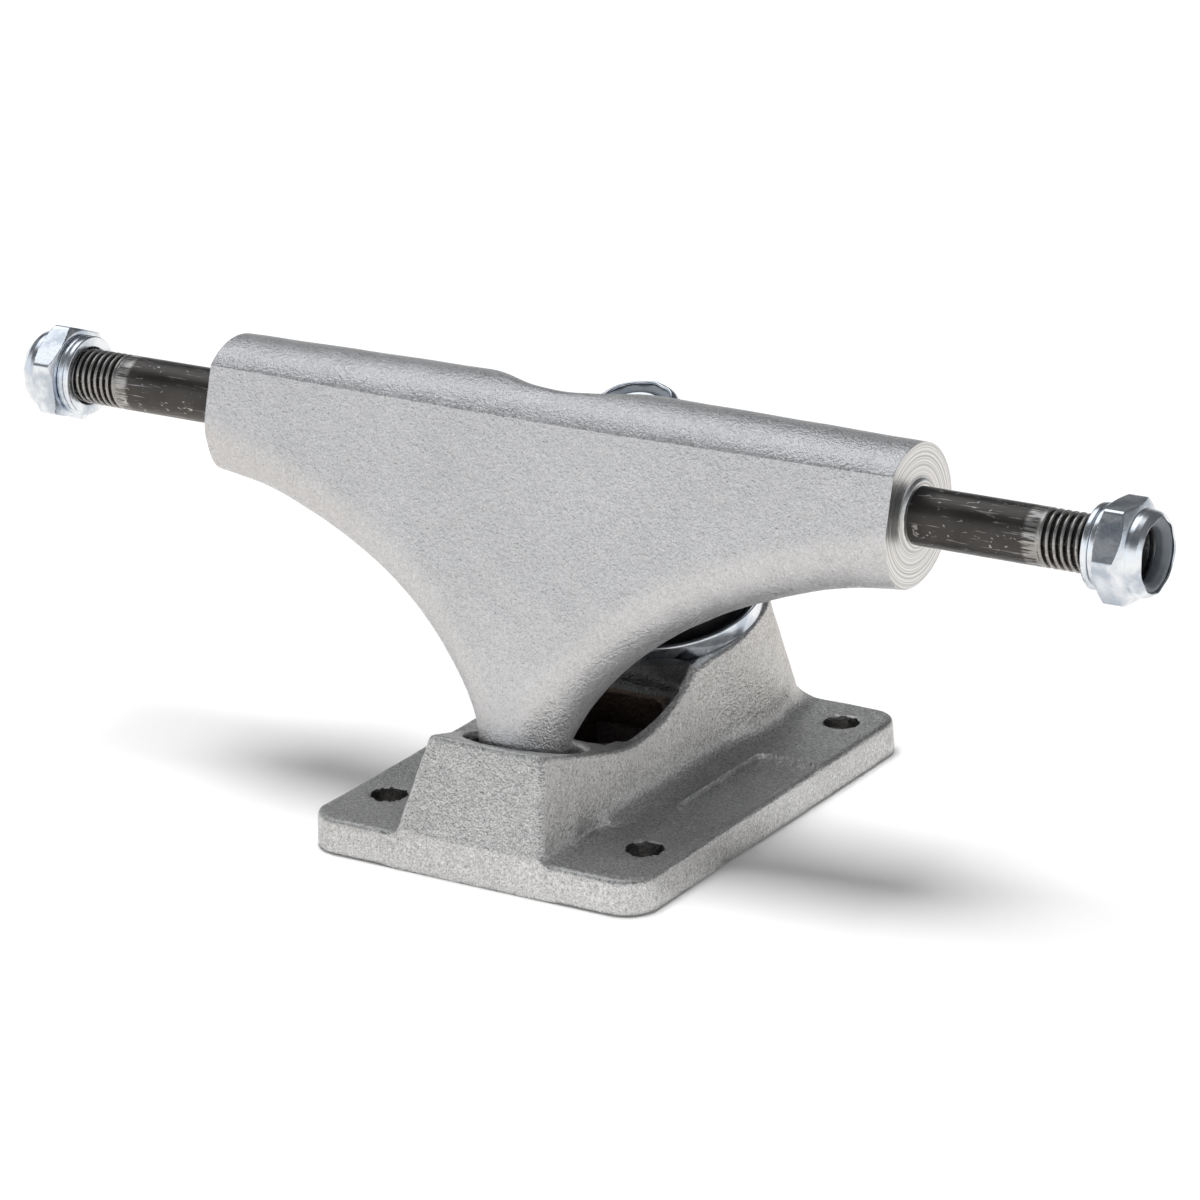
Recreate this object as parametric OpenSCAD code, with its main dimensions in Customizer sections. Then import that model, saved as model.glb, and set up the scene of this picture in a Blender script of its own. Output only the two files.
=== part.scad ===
// Skateboard truck, standing on its mounting face.
// X runs along the axle, Y from the pivot to the kingpin, Z is up.
// The origin is the middle of the four deck bolts, on the mounting face.

/* [Base plate] */
// Width of the flange across the board
flange_w = 54; // [52:0.5:66]
// Reach of the flange from the bolt middle towards the pivot
flange_front = 39; // [37:0.5:44]
// Reach of the flange from the bolt middle towards the kingpin
flange_back = 34.8; // [33.5:0.1:40]
// Thickness of the flange
flange_t = 5.1; // [4:0.1:7]
// Corner radius of the flange
flange_corner_r = 5; // [3:0.5:7]
// Distance between deck bolts across the board
bolt_spacing_x = 41.3; // [40.5:0.1:42]
// Distance between deck bolts along the board
bolt_spacing_y = 54; // [52:0.1:56]
// Diameter of the deck bolt holes
bolt_hole_d = 5.2; // [4.9:0.1:6]
// Diameter of the clear spot round the two front bolts
bolt_spot_d = 18.8; // [14:0.2:19.2]
// Height of that spot's wall above the flange
bolt_spot_h = 5; // [3:0.1:6]
// Width of the body across its foot, without the fillet
body_w = 23.8; // [23.2:0.1:25]
// Draft angle of the body's side walls
side_draft = 12; // [9:0.1:13]
// Width of the fillet along the foot of the body
foot_fillet_w = 1.6; // [1:0.1:2.4]
// Height of that fillet
foot_fillet_h = 3.4; // [1.5:0.1:4]
// Length of the sunken panel on the right side of the flange
panel_l = 22.4; // [15:0.2:26]
// Width of the sunken panel
panel_w = 8.8; // [6:0.1:9]
// Depth of the sunken panel
panel_depth = 0.6; // [0.3:0.1:1.2]
// Land left between the panel and the edge of the flange
panel_border = 1.4; // [1:0.1:3]

/* [Pivot tower] */
// Distance of the pivot hole's mouth in front of the bolt middle
pivot_mouth_y = -24.2; // [-25.5:0.1:-23]
// Height of the middle of the pivot hole's mouth
pivot_mouth_z = 15.6; // [15:0.1:18]
// Lean of the pivot hole and of the hanger's front face
pivot_lean = 16; // [12:0.5:18]
// Diameter of the pivot hole
pivot_hole_d = 16.8; // [16:0.1:17.4]
// Depth of the pivot hole
pivot_hole_depth = 11.5; // [11:0.1:12.5]
// Distance from the pivot hole's middle to the front edge of the tower's top
pivot_front_land = 9.95; // [9.6:0.05:10.6]
// Lean of the tower's front face
front_lean = 21; // [14:0.5:23]

/* [Window between the towers] */
// Width of the window
window_w = 14; // [10:0.5:15]
// Front end of the window
window_front_y = -15; // [-15.5:0.1:-13]
// Back end of the window
window_back_y = 2.2; // [0:0.1:2.4]
// Corner radius of the window
window_corner_r = 2.5; // [1:0.1:4]
// Height of the saddle between the towers
saddle_z = 12.2; // [11.8:0.1:13]
// Slope of the walls that rise from the saddle to the kingpin
rise_angle = 23.7; // [21:0.1:27]
// Width of the dish round the window
dish_w = 17.4; // [16:0.2:18]
// Height of the dish's floor at its lowest place
dish_floor_z = 11.4; // [11:0.1:12]
// Draft angle of the hollow under the window
hollow_draft = 14; // [4:1:16]

/* [Kingpin tower] */
// Position of the kingpin seat's middle along the board
seat_y = 16.6; // [15.5:0.1:17]
// Height of the kingpin seat's middle
seat_z = 22; // [21:0.1:24]
// Lean of the kingpin towards the pivot
kingpin_lean = 19; // [16:0.5:21]
// Diameter of the seat
seat_d = 25.8; // [25:0.1:28]
// Draft angle of the kingpin tower
tower_draft = 4.2; // [2:0.1:6]
// Length of the ledge in front of the seat, from the seat's middle
seat_ledge = 15; // [14.6:0.1:15.3]

/* [Kingpin and its stack] */
// Diameter of the kingpin
kingpin_d = 9.52; // [9.2:0.02:9.8]
// Width across the flats of the kingpin's head
kingpin_head_af = 14.3; // [13.5:0.1:15]
// Height of the kingpin's head
kingpin_head_h = 6; // [5:0.1:6.4]
// Depth from the seat to the top of the kingpin's head
kingpin_head_depth = 14; // [12:0.1:14]
// Distance that the kingpin's end stays below the top of its nut
kingpin_end_drop = 0.8; // [0.4:0.1:1.5]
// Diameter of the lower cupped washer at its rim
lower_washer_d = 26.4; // [25:0.1:27]
// Height of the lower cupped washer
lower_washer_h = 3.1; // [2.5:0.1:3.5]
// Sheet thickness of the cupped washers
cup_sheet = 1.4; // [1:0.1:1.6]
// Height of the lower bushing
lower_bushing_h = 12.6; // [12:0.1:14]
// Diameter of the lower bushing
lower_bushing_d = 23; // [21:0.1:23.4]
// Height of the upper bushing
upper_bushing_h = 8.6; // [8:0.1:10]
// Diameter of the upper bushing where it meets the ring
upper_bushing_d = 20.4; // [19:0.1:20.8]
// Diameter of the upper bushing where it meets its washer
upper_bushing_top_d = 18; // [16:0.1:18.4]
// Diameter of the upper cupped washer
upper_washer_d = 20.8; // [20.4:0.1:21.2]
// Height of the upper cupped washer
upper_washer_h = 3; // [2.4:0.1:3.4]
// Width across the flats of the kingpin nut
kingpin_nut_af = 14.3; // [14:0.1:15]
// Height of the kingpin nut
kingpin_nut_h = 6.5; // [6:0.1:8]
// Height of the kingpin nut's hexagon
kingpin_nut_hex_h = 4.1; // [3.4:0.1:4.4]
// Diameter of the kingpin nut's collar
kingpin_nut_collar_d = 13.6; // [13:0.1:14]

/* [Hanger] */
// Width of the hanger, face to face
hanger_w = 108; // [96:1:150]
// Diameter of the beam round the axle
beam_d = 19; // [18:0.1:20]
// Distance of the axle in front of the bolt middle
axle_y = -12.1; // [-13:0.1:-11.5]
// Height of the axle above the mounting face
axle_z = 53; // [52.5:0.1:56]
// Distance from the axle to the hanger's front face
front_face_offset = 8.15; // [7.6:0.05:8.6]
// Thickness of the web, and of the nose that hangs from it
web_t = 12.6; // [12:0.1:13]
// Height above the nose line at which the web is as wide as the hanger
wing_height = 38.2; // [36:0.1:41]
// Exponent of the web's flare
wing_flare = 2.27; // [2:0.01:2.6]
// Height of the line that the web's flare starts from
nose_line_z = 16; // [15:0.1:17]
// Height above the nose line at which the web's outline starts
web_start = 6; // [5:0.1:7]
// Radius of the nose's ball
nose_ball_r = 5; // [4.6:0.1:5.2]
// Depth of the ball's middle below the mouth of the pivot hole
nose_ball_depth = 5; // [4.6:0.1:5.2]
// Outer diameter of the ring round the kingpin
ring_d = 25; // [23:0.1:26]
// Thickness of the ring
ring_t = 5; // [4.4:0.1:5.6]
// Diameter of the ring's hole
ring_hole_d = 12.8; // [12.4:0.1:13.4]
// Radius of the pocket behind the beam that clears the kingpin nut
nut_pocket_r = 11.8; // [11.6:0.1:12.2]
// Width that the pocket gains beyond its radius on each side
nut_pocket_side = 3; // [2.6:0.1:4]
// Radius of the scoop in the top of the beam
scoop_r = 17; // [15:0.1:17.4]
// Distance of the scoop's centre behind the axle
scoop_back = 15.1; // [14:0.1:16]
// Height of the scoop's centre above the axle
scoop_up = 16; // [15:0.1:17]
// Width of the bracket where it meets the beam
bracket_w = 44; // [36:1:50]
// Radius of the bracket's root inside the beam
bracket_root_r = 4.6; // [4:0.1:5]
// Radius of the bracket's root inside the web
bracket_web_r = 3.5; // [3:0.1:4.5]
// Height above the nose line at which the bracket leaves the web
bracket_foot = 13; // [10:0.5:16]
// Diameter of the boss on each end face
end_boss_d = 9.6; // [9:0.1:11]
// Height of that boss
end_boss_h = 0.5; // [0.2:0.1:1]

/* [Axle] */
// Diameter of the plain part of the axle
axle_d = 7.9; // [7.6:0.02:8]
// Diameter over the crests of the thread
thread_d = 7.84; // [7.6:0.02:7.88]
// Length of the whole axle
axle_l = 171.4; // [150:0.2:200]
// Length of the thread at each end
thread_l = 12.7; // [10:0.1:14]
// Bevel at the ends of the axle
axle_bevel = 0.6; // [0.3:0.1:1]

/* [Axle nuts and speed washers] */
// Length of thread that each axle end stands out past its nut's seat
thread_in_nut = 3.5; // [3:0.1:4]
// Width across the flats of the axle nuts
axle_nut_af = 12.7; // [12:0.1:13.5]
// Height of the axle nuts
axle_nut_h = 6.5; // [6:0.1:7]
// Height of the axle nut's hexagon
axle_nut_hex_h = 3.9; // [3.4:0.1:4.2]
// Diameter of the axle nut's collar
axle_nut_collar_d = 11.6; // [11:0.1:12]
// Diameter of the axle nut's open mouth
axle_nut_mouth_d = 9.8; // [9:0.1:10]
// Angle by which the left nut's corners are turned about the axle
left_nut_turn = -21; // [-30:1:30]
// Angle by which the right nut's corners are turned about the axle
right_nut_turn = 30; // [-30:1:30]
// Inner diameter of the axle nut's nylon ring
axle_insert_d = 7.4; // [7:0.1:7.5]
// Outer diameter of a speed washer
speed_washer_d = 11.4; // [11:0.1:13]
// Inner diameter of a speed washer
speed_washer_hole_d = 8.2; // [8.1:0.05:8.6]
// Thickness of a speed washer
speed_washer_t = 0.95; // [0.8:0.05:1.2]

/* [Clearances] */
// Radial running clearance of a nut on its thread
thread_gap = 0.05; // [0.02:0.01:0.08]
// Radial gap between pieces that are pressed or cast together
press_gap = 0.02; // [0.01:0.01:0.04]
// Gap between the kingpin and the washers, bushings and nut seats
kingpin_gap = 0.15; // [0.1:0.05:0.3]
// Gap between washers, and between a washer and its nut
stack_gap = 0.05; // [0.02:0.01:0.1]
// Gap between the nose and its cup
nose_gap = 0.1; // [0.06:0.02:0.2]
// Angle through which the cup's mouth lets the nose tilt
nose_tilt = 8.9; // [8.8:0.1:10]

/* [Hidden] */
$fn = 64;

cast_color = [0.66, 0.66, 0.67];
zinc_color = [0.80, 0.84, 0.88];
steel_color = [0.18, 0.17, 0.17];
rubber_color = [0.05, 0.05, 0.05];
nylon_color = [0.35, 0.38, 0.40];

// Heights along the kingpin, counted from its seat
ring_bottom = cup_sheet + lower_bushing_h;
ring_top = ring_bottom + ring_t;
upper_washer_top = ring_top + upper_bushing_h + cup_sheet;
kingpin_nut_top = upper_washer_top + kingpin_nut_h;
kingpin_r = kingpin_d / 2;

// Distance from the middle of the truck to the seat of each axle nut
nut_seat_x = axle_l / 2 - thread_in_nut;

// The hanger's nose is a cone that ends in a ball; nose_taper is its half angle
nose_taper = atan((web_t / 2 - nose_ball_r) / nose_ball_depth);

// The body's walls: half its width at a height z, and the height of the pivot tower's top at y
tower_front_y = pivot_mouth_y - pivot_front_land * cos(pivot_lean);
tower_front_z = pivot_mouth_z + pivot_front_land * sin(pivot_lean);
function wall_x(z) = body_w / 2 - (z - flange_t) * tan(side_draft);
function pivot_top_z(y) = pivot_mouth_z - (y - pivot_mouth_y) * tan(pivot_lean);

// The front face of the hanger is a plane that leans with the pivot
front_normal = [0, -cos(pivot_lean), sin(pivot_lean)];
up_the_face = [0, sin(pivot_lean), cos(pivot_lean)];
axle_point = [0, axle_y, axle_z];
web_middle = axle_point + (front_face_offset - web_t / 2) * front_normal;

// A cupped washer's rim is thinner than its floor, and clears its bushing by cup_play
rim_share = 0.75;
cup_play = 0.05;

// Size of everything that only has to reach past the part
far = 200;

// Distance from the front end of the seat's ledge to the top of the side walls' rise
ledge_reach = 5.5;

// Reach of the soft bends at both ends of the saddle
saddle_bend = 1.5;

// The dish round the window: its land behind and beside the window, its front end and its front ramp
dish_land = 0.6;
dish_side_land = 0.8;
dish_inset = 3;
dish_ramp = 4;

// Thickness of the rim between the dish's floor and the hollow below it
window_rim_t = 2;

module kingpin_frame() {
    translate([0, seat_y, seat_z])
        rotate([kingpin_lean, 0, 0])
            children();
}

module pivot_frame() {
    translate([0, pivot_mouth_y, pivot_mouth_z])
        rotate([-pivot_lean, 0, 0])
            children();
}

// Turns a piece made along Z so that it points out along the axle, side is 1 or -1
module on_axle(side, x) {
    translate([side * x, axle_y, axle_z])
        rotate([0, side * 90, 0])
            children();
}

module rounded_plate(x0, x1, y0, y1, r, h) {
    linear_extrude(h)
        union() {
            translate([x0 + r, y0])
                square([x1 - x0 - 2 * r, y1 - y0]);
            translate([x0, y0 + r])
                square([x1 - x0, y1 - y0 - 2 * r]);
            for (x = [x0 + r, x1 - r], y = [y0 + r, y1 - r])
                translate([x, y])
                    circle(r);
        }
}

module at_deck_bolts() {
    for (sx = [-1, 1], sy = [-1, 1])
        translate([sx * bolt_spacing_x / 2, sy * bolt_spacing_y / 2, 0])
            children();
}

// Side view of the body: the pivot tower's lean, the saddle and the rise to the kingpin seat
module body_side_view() {
    saddle_front = pivot_mouth_y + (pivot_mouth_z - saddle_z) / tan(pivot_lean);
    // The rise ends on the seat's plane, a little behind the front end of the seat's ledge
    rise_top_y = seat_y - seat_ledge * cos(kingpin_lean) + ledge_reach;
    rise_top_z = seat_z - (seat_y - rise_top_y) * tan(kingpin_lean);
    rise_foot_y = rise_top_y - (rise_top_z - saddle_z) / tan(rise_angle);
    front_limit = 0.2 - flange_front;
    polygon([
        [max(tower_front_y - tower_front_z * tan(front_lean), front_limit), 0],
        [max(tower_front_y - (tower_front_z - flange_t) * tan(front_lean), front_limit), flange_t],
        [tower_front_y, tower_front_z],
        [saddle_front - saddle_bend, pivot_top_z(saddle_front - saddle_bend)],
        [saddle_front + saddle_bend, saddle_z],
        [rise_foot_y - saddle_bend, saddle_z],
        [rise_foot_y + saddle_bend, saddle_z + saddle_bend * tan(rise_angle)],
        [rise_top_y, rise_top_z],
        [seat_y, seat_z],
        [seat_y, 0]
    ]);
}

// Front view of the body: side walls with draft
module body_front_view() {
    top = max(tower_front_z, seat_z) + flange_t;
    polygon([[-wall_x(0), 0], [wall_x(0), 0], [wall_x(top), top], [-wall_x(top), top]]);
}

// A fillet whose curve leaves the flange flat and meets the wall along its draft
module foot_profile() {
    steps = 5;
    lean = foot_fillet_h * tan(side_draft);
    curve = [for (i = [0 : steps]) let (u = i / steps)
        [foot_fillet_w * pow(1 - u, 2) - lean * pow(u, 2), foot_fillet_h * pow(u, 2)]];
    polygon(concat([[-lean - 1, 0]], curve, [[-lean - 1, foot_fillet_h]]));
}

// The body between the towers, and its fillets, which start beside the front bolts
module body() {
    intersection() {
        rotate([90, 0, 90])
            linear_extrude(flange_w, center = true)
                body_side_view();
        rotate([90, 0, 0])
            linear_extrude(far, center = true)
                body_front_view();
    }
    for (side = [-1, 1])
        mirror([side < 0 ? 1 : 0, 0, 0])
            translate([wall_x(flange_t), seat_y, flange_t])
                rotate([90, 0, 0])
                    linear_extrude(seat_y + bolt_spacing_y / 2)
                        foot_profile();
}

// The dish in the top of the body, lower than the side walls, from the saddle to the kingpin's ledge
module dish() {
    back_y = window_back_y + dish_land;
    front_y = window_front_y + dish_inset;
    rise = (back_y - front_y) * 0.48;
    half = window_w / 2 + dish_side_land;
    top = far / 5;
    flare = (top - dish_floor_z) / 3;
    intersection() {
        rotate([90, 0, 90])
            linear_extrude(dish_w, center = true)
                polygon([
                    [front_y, dish_floor_z + dish_ramp * tan(pivot_lean)],
                    [front_y + dish_ramp, dish_floor_z],
                    [back_y - rise, dish_floor_z],
                    [back_y, dish_floor_z + rise * tan(rise_angle)],
                    [back_y, top],
                    [front_y, top]
                ]);
        rotate([90, 0, 0])
            linear_extrude(far, center = true)
                polygon([
                    [-half, 0],
                    [half, 0],
                    [half, dish_floor_z],
                    [half + flare, top],
                    [-half - flare, top],
                    [-half, dish_floor_z]
                ]);
    }
}

// The hollow under the window opens downwards, as its core is drawn
module hollow() {
    depth = dish_floor_z - window_rim_t;
    half = window_w / 2 + depth * tan(hollow_draft);
    intersection() {
        translate([-far / 2, window_front_y, -1])
            cube([far, window_back_y - window_front_y, depth + 1]);
        rotate([90, 0, 0])
            linear_extrude(far, center = true)
                polygon([[-half, -1], [half, -1], [half, 0], [window_w / 2, depth], [-window_w / 2, depth], [-half, 0]]);
    }
}

module kingpin_tower() {
    depth = seat_z / cos(kingpin_lean) + seat_d / 2;
    intersection() {
        kingpin_frame()
            translate([0, 0, -depth])
                cylinder(h = depth, r1 = seat_d / 2 + depth * tan(tower_draft), r2 = seat_d / 2);
        translate([-flange_w / 2, -flange_front, 0])
            cube([flange_w, flange_front + flange_back - 0.3, seat_z * 2]);
    }
}

module base_plate() {
    color(cast_color)
        difference() {
            union() {
                rounded_plate(-flange_w / 2, flange_w / 2, -flange_front, flange_back,
                              flange_corner_r, flange_t);
                body();
                kingpin_tower();
            }
            at_deck_bolts()
                translate([0, 0, -1])
                    cylinder(h = flange_t + 2, d = bolt_hole_d);
            for (side = [-1, 1])
                translate([side * bolt_spacing_x / 2, -bolt_spacing_y / 2, flange_t])
                    cylinder(h = bolt_spot_h, d = bolt_spot_d);
            pivot_frame()
                translate([0, 0, -pivot_hole_depth])
                    cylinder(h = far, d = pivot_hole_d);
            kingpin_frame()
                translate([0, 0, -far / 2])
                    cylinder(h = far, r = kingpin_r + press_gap);
            kingpin_frame()
                translate([0, 0, -kingpin_head_depth - far / 2])
                    cylinder(h = far / 2, r = (kingpin_head_af / 2 + 0.15) / cos(30), $fn = 6);
            translate([0, 0, -1])
                rounded_plate(-window_w / 2, window_w / 2, window_front_y, window_back_y,
                              window_corner_r, far);
            dish();
            hollow();
            translate([flange_w / 2 - panel_border - panel_w, -panel_l / 2 - 0.8, flange_t - panel_depth])
                cube([panel_w, panel_l, 1]);
        }
}

// The cup holds the nose's ball, and its mouth is a cone that touches the ball's socket all round
module pivot_cup() {
    socket_r = nose_ball_r + nose_gap;
    flare = nose_taper + nose_tilt;
    color(rubber_color)
        pivot_frame()
            difference() {
                translate([0, 0, -pivot_hole_depth])
                    cylinder(h = pivot_hole_depth - 0.3, r = pivot_hole_d / 2 - press_gap);
                translate([0, 0, -nose_ball_depth]) {
                    sphere(socket_r);
                    translate([0, 0, -socket_r * sin(flare)])
                        cylinder(h = socket_r * sin(flare) + nose_ball_depth,
                                 r1 = socket_r * cos(flare),
                                 r2 = socket_r / cos(flare) + nose_ball_depth * tan(flare));
                }
            }
}

module kingpin() {
    color(zinc_color)
        kingpin_frame() {
            translate([0, 0, -kingpin_head_depth])
                cylinder(h = kingpin_head_depth + kingpin_nut_top - kingpin_end_drop, r = kingpin_r);
            translate([0, 0, -kingpin_head_depth - kingpin_head_h])
                intersection() {
                    cylinder(h = kingpin_head_h, d = kingpin_head_af / cos(30), $fn = 6);
                    cylinder(h = kingpin_head_h, r1 = kingpin_head_af / 2, r2 = kingpin_head_af / 2 + kingpin_head_h);
                }
        }
}

// A cupped washer: a flat floor and a rim that opens outwards
module cupped_washer(rim_d, h, rim_step) {
    rotate_extrude()
        polygon([
            [kingpin_r + kingpin_gap, 0],
            [rim_d / 2 - rim_step, 0],
            [rim_d / 2, h],
            [rim_d / 2 - cup_sheet * 0.6, h],
            [rim_d / 2 - rim_step - cup_sheet * rim_share, cup_sheet],
            [kingpin_r + kingpin_gap, cup_sheet]
        ]);
}

module lower_cup_washer() {
    color(zinc_color)
        kingpin_frame()
            cupped_washer(lower_washer_d, lower_washer_h, 0.7);
}

// The upper washer opens as far as its bushing needs
module upper_cup_washer() {
    rim_step = 0.3;
    needed_d = upper_bushing_top_d + 2 * (cup_play + rim_step + cup_sheet * rim_share);
    color(zinc_color)
        kingpin_frame()
            translate([0, 0, upper_washer_top])
                mirror([0, 0, 1])
                    cupped_washer(max(upper_washer_d, needed_d), upper_washer_h, rim_step);
}

// A bushing with a belly and a short neck that centres it in the ring
module bushing(h, r_seat, r_belly, r_ring) {
    neck_r = ring_hole_d / 2 - 0.3;
    neck_h = ring_t * 0.36;
    rotate_extrude()
        polygon([
            [kingpin_r + kingpin_gap, 0],
            [r_seat, 0],
            [r_belly, h * 0.3],
            [r_belly, h * 0.7],
            [r_ring, h],
            [neck_r, h],
            [neck_r, h + neck_h],
            [kingpin_r + kingpin_gap, h + neck_h]
        ]);
}

module lower_bushing() {
    color(rubber_color)
        kingpin_frame()
            translate([0, 0, cup_sheet])
                bushing(lower_bushing_h, lower_bushing_d / 2 - 0.6, lower_bushing_d / 2, lower_bushing_d / 2 - 0.6);
}

module upper_bushing() {
    color(rubber_color)
        kingpin_frame()
            translate([0, 0, upper_washer_top - cup_sheet])
                mirror([0, 0, 1])
                    bushing(upper_bushing_h, upper_bushing_top_d / 2, upper_bushing_top_d / 2 + 0.5, upper_bushing_d / 2);
}

module nose() {
    top = 6.4;
    pivot_frame() {
        translate([0, 0, -nose_ball_depth])
            sphere(nose_ball_r);
        translate([0, 0, -nose_ball_depth])
            cylinder(h = nose_ball_depth, r1 = nose_ball_r, r2 = web_t / 2);
        cylinder(h = top, r1 = web_t / 2, r2 = web_t / 2 + 0.8);
    }
}

// Half the width of the sheet that runs in the middle of the web, at height h above the nose line
function sheet_x(h) = hanger_w / 2 * pow(h / wing_height, wing_flare);

// A point of the sheet, given by x and the height above the mounting face
function sheet_point(x, z) = web_middle + (z - web_middle[2]) / cos(pivot_lean) * up_the_face + [x, 0, 0];

// The web: its sheet thickened to web_t, with an edge that is round all the way
module web() {
    steps = 20;
    rounds = 8;
    reach = 0.9;
    h_end = wing_height * pow(reach, 1 / wing_flare);
    heights = [for (i = [0 : steps]) web_start + (h_end - web_start) * i / steps];
    right = [for (h = heights) [sheet_x(h), nose_line_z + h]];
    slopes = [for (h = heights) atan2(1, sheet_x(h + 0.01) / 0.01 - sheet_x(h) / 0.01)];
    // The two edges meet in a small arc above the nose
    fan = 5;
    arc_r = right[0][0] / sin(slopes[0]);
    arc_z = right[0][1] + arc_r * cos(slopes[0]);
    fan_angles = [for (j = [1 : fan - 1]) slopes[0] - 90 - 2 * slopes[0] * j / fan];
    // Each entry is a point of the edge and its outward direction
    edge = concat(
        [for (i = [steps : -1 : 0]) [right[i][0], right[i][1], slopes[i] - 90]],
        [for (d = fan_angles) [arc_r * cos(d), arc_z + arc_r * sin(d), d]],
        [for (i = [0 : steps]) [-right[i][0], right[i][1], -90 - slopes[i]]]
    );
    r = web_t / 2;
    rim = [for (k = [0 : rounds]) 90 - 180 * k / rounds];
    n = len(edge);
    arc_points = [for (e = edge, a = rim)
        sheet_point(e[0], e[1])
            + r * cos(a) * (cos(e[2]) * [1, 0, 0] + sin(e[2]) * up_the_face)
            + r * sin(a) * front_normal];
    rows = rounds + 1;
    skin = [for (i = [0 : n - 2], k = [0 : rounds - 1])
        each [
            [i * rows + k, (i + 1) * rows + k + 1, (i + 1) * rows + k],
            [i * rows + k, i * rows + k + 1, (i + 1) * rows + k + 1]
        ]];
    front = [[for (i = [0 : n - 1]) i * rows]];
    back = [[for (i = [n - 1 : -1 : 0]) i * rows + rounds]];
    last = (n - 1) * rows;
    caps = [
        [for (k = [rounds : -1 : 0]) k],
        [for (k = [0 : rounds]) last + k],
        [0, last, last + rounds, rounds]
    ];
    polyhedron(points = arc_points, faces = concat(skin, front, back, caps), convexity = 6);
}

// The part of the beam in front of the hanger's flat front face
module front_space(setback) {
    translate(axle_point + (front_face_offset - setback) * front_normal)
        rotate([-pivot_lean, 0, 0])
            translate([-far / 2, -far, -far / 2])
                cube(far);
}

// The bracket that carries the ring behind the web
module bracket() {
    inset = 0.4;
    hull() {
        kingpin_frame()
            translate([0, 0, ring_bottom + inset])
                cylinder(h = ring_t - 2 * inset, d = ring_d - 2 * inset, $fn = 32);
        translate([0, axle_y + 1, axle_z - 3])
            rotate([0, 90, 0])
                cylinder(h = bracket_w, r = bracket_root_r, center = true, $fn = 16);
        translate(sheet_point(0, nose_line_z + bracket_foot))
            sphere(bracket_web_r, $fn = 16);
    }
}

// Room behind the beam for the kingpin nut, open upwards
module nut_pocket() {
    kingpin_frame()
        translate([0, 0, ring_top - 0.2])
            linear_extrude(far)
                hull()
                    for (side = [-1, 1])
                        translate([side * nut_pocket_side, 0])
                            circle(nut_pocket_r);
}

// The rough casting: the beam round the axle, the web below it and the bracket behind
module casting() {
    resize([hanger_w, 0, 0])
        difference() {
            union() {
                web();
                bracket();
                difference() {
                    translate(axle_point)
                        rotate([0, 90, 0])
                            cylinder(h = hanger_w, d = beam_d, center = true, $fn = 56);
                    front_space(0.02);
                }
            }
            nut_pocket();
            translate([0, axle_y + scoop_back, axle_z + scoop_up])
                sphere(scoop_r);
        }
}

module hanger() {
    color(cast_color)
        difference() {
            union() {
                casting();
                nose();
                kingpin_frame()
                    translate([0, 0, ring_bottom])
                        cylinder(h = ring_t, d = ring_d);
                for (side = [-1, 1])
                    on_axle(side, hanger_w / 2 - 1)
                        cylinder(h = end_boss_h + 1, d = end_boss_d);
            }
            translate(axle_point)
                rotate([0, 90, 0])
                    cylinder(h = hanger_w + far, r = axle_d / 2 + press_gap, center = true);
            kingpin_frame()
                translate([0, 0, ring_bottom - far / 4])
                    cylinder(h = far, d = ring_hole_d);
        }
}

module axle() {
    plain = axle_l / 2 - thread_l;
    color(steel_color)
        translate(axle_point)
            rotate([0, 90, 0])
                rotate_extrude()
                    polygon([
                        [0, -axle_l / 2],
                        [thread_d / 2 - axle_bevel, -axle_l / 2],
                        [thread_d / 2, -axle_l / 2 + axle_bevel],
                        [thread_d / 2, -plain],
                        [axle_d / 2, -plain + 0.3],
                        [axle_d / 2, plain - 0.3],
                        [thread_d / 2, plain],
                        [thread_d / 2, axle_l / 2 - axle_bevel],
                        [thread_d / 2 - axle_bevel, axle_l / 2],
                        [0, axle_l / 2]
                    ]);
}

// A lock nut that stands on Z = 0: hexagon below, round collar above with an open mouth
module lock_nut(af, h, hex_h, collar_d, mouth_d, bore_r, insert_r, insert_h) {
    bevel = 0.8;
    difference() {
        union() {
            intersection() {
                cylinder(h = hex_h, d = af / cos(30), $fn = 6);
                rotate_extrude()
                    polygon([
                        [0, 0],
                        [af / 2 - 0.1, 0],
                        [af / 2 + bevel, bevel * 0.6],
                        [af / 2 + bevel, hex_h - bevel],
                        [af / 2 - 0.5, hex_h],
                        [0, hex_h]
                    ]);
            }
            rotate_extrude()
                polygon([
                    [0, hex_h - 1],
                    [collar_d / 2, hex_h - 1],
                    [collar_d / 2, h - 1.2],
                    [collar_d / 2 - 0.4, h - 0.4],
                    [collar_d / 2 - 0.8, h],
                    [0, h]
                ]);
        }
        translate([0, 0, -1])
            cylinder(h = h + 2, r = bore_r);
        translate([0, 0, h - 0.5 - insert_h])
            cylinder(h = insert_h, r = insert_r + press_gap);
        translate([0, 0, h - 1])
            cylinder(h = 2, d = mouth_d);
    }
}

module nylon_ring(h, insert_h, insert_r, bore_r) {
    translate([0, 0, h - 0.5 - insert_h])
        difference() {
            cylinder(h = insert_h, r = insert_r);
            translate([0, 0, -1])
                cylinder(h = insert_h + 2, r = bore_r);
        }
}

kingpin_insert_h = 1.9;
kingpin_insert_r = kingpin_nut_collar_d / 2 - 0.9;
axle_insert_h = 1.9;
axle_insert_r = axle_nut_collar_d / 2 - 0.7;

module kingpin_nut() {
    color(zinc_color)
        kingpin_frame()
            translate([0, 0, upper_washer_top])
                lock_nut(kingpin_nut_af, kingpin_nut_h, kingpin_nut_hex_h, kingpin_nut_collar_d,
                         kingpin_nut_collar_d - 2.4, kingpin_r + thread_gap, kingpin_insert_r, kingpin_insert_h);
}

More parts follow.
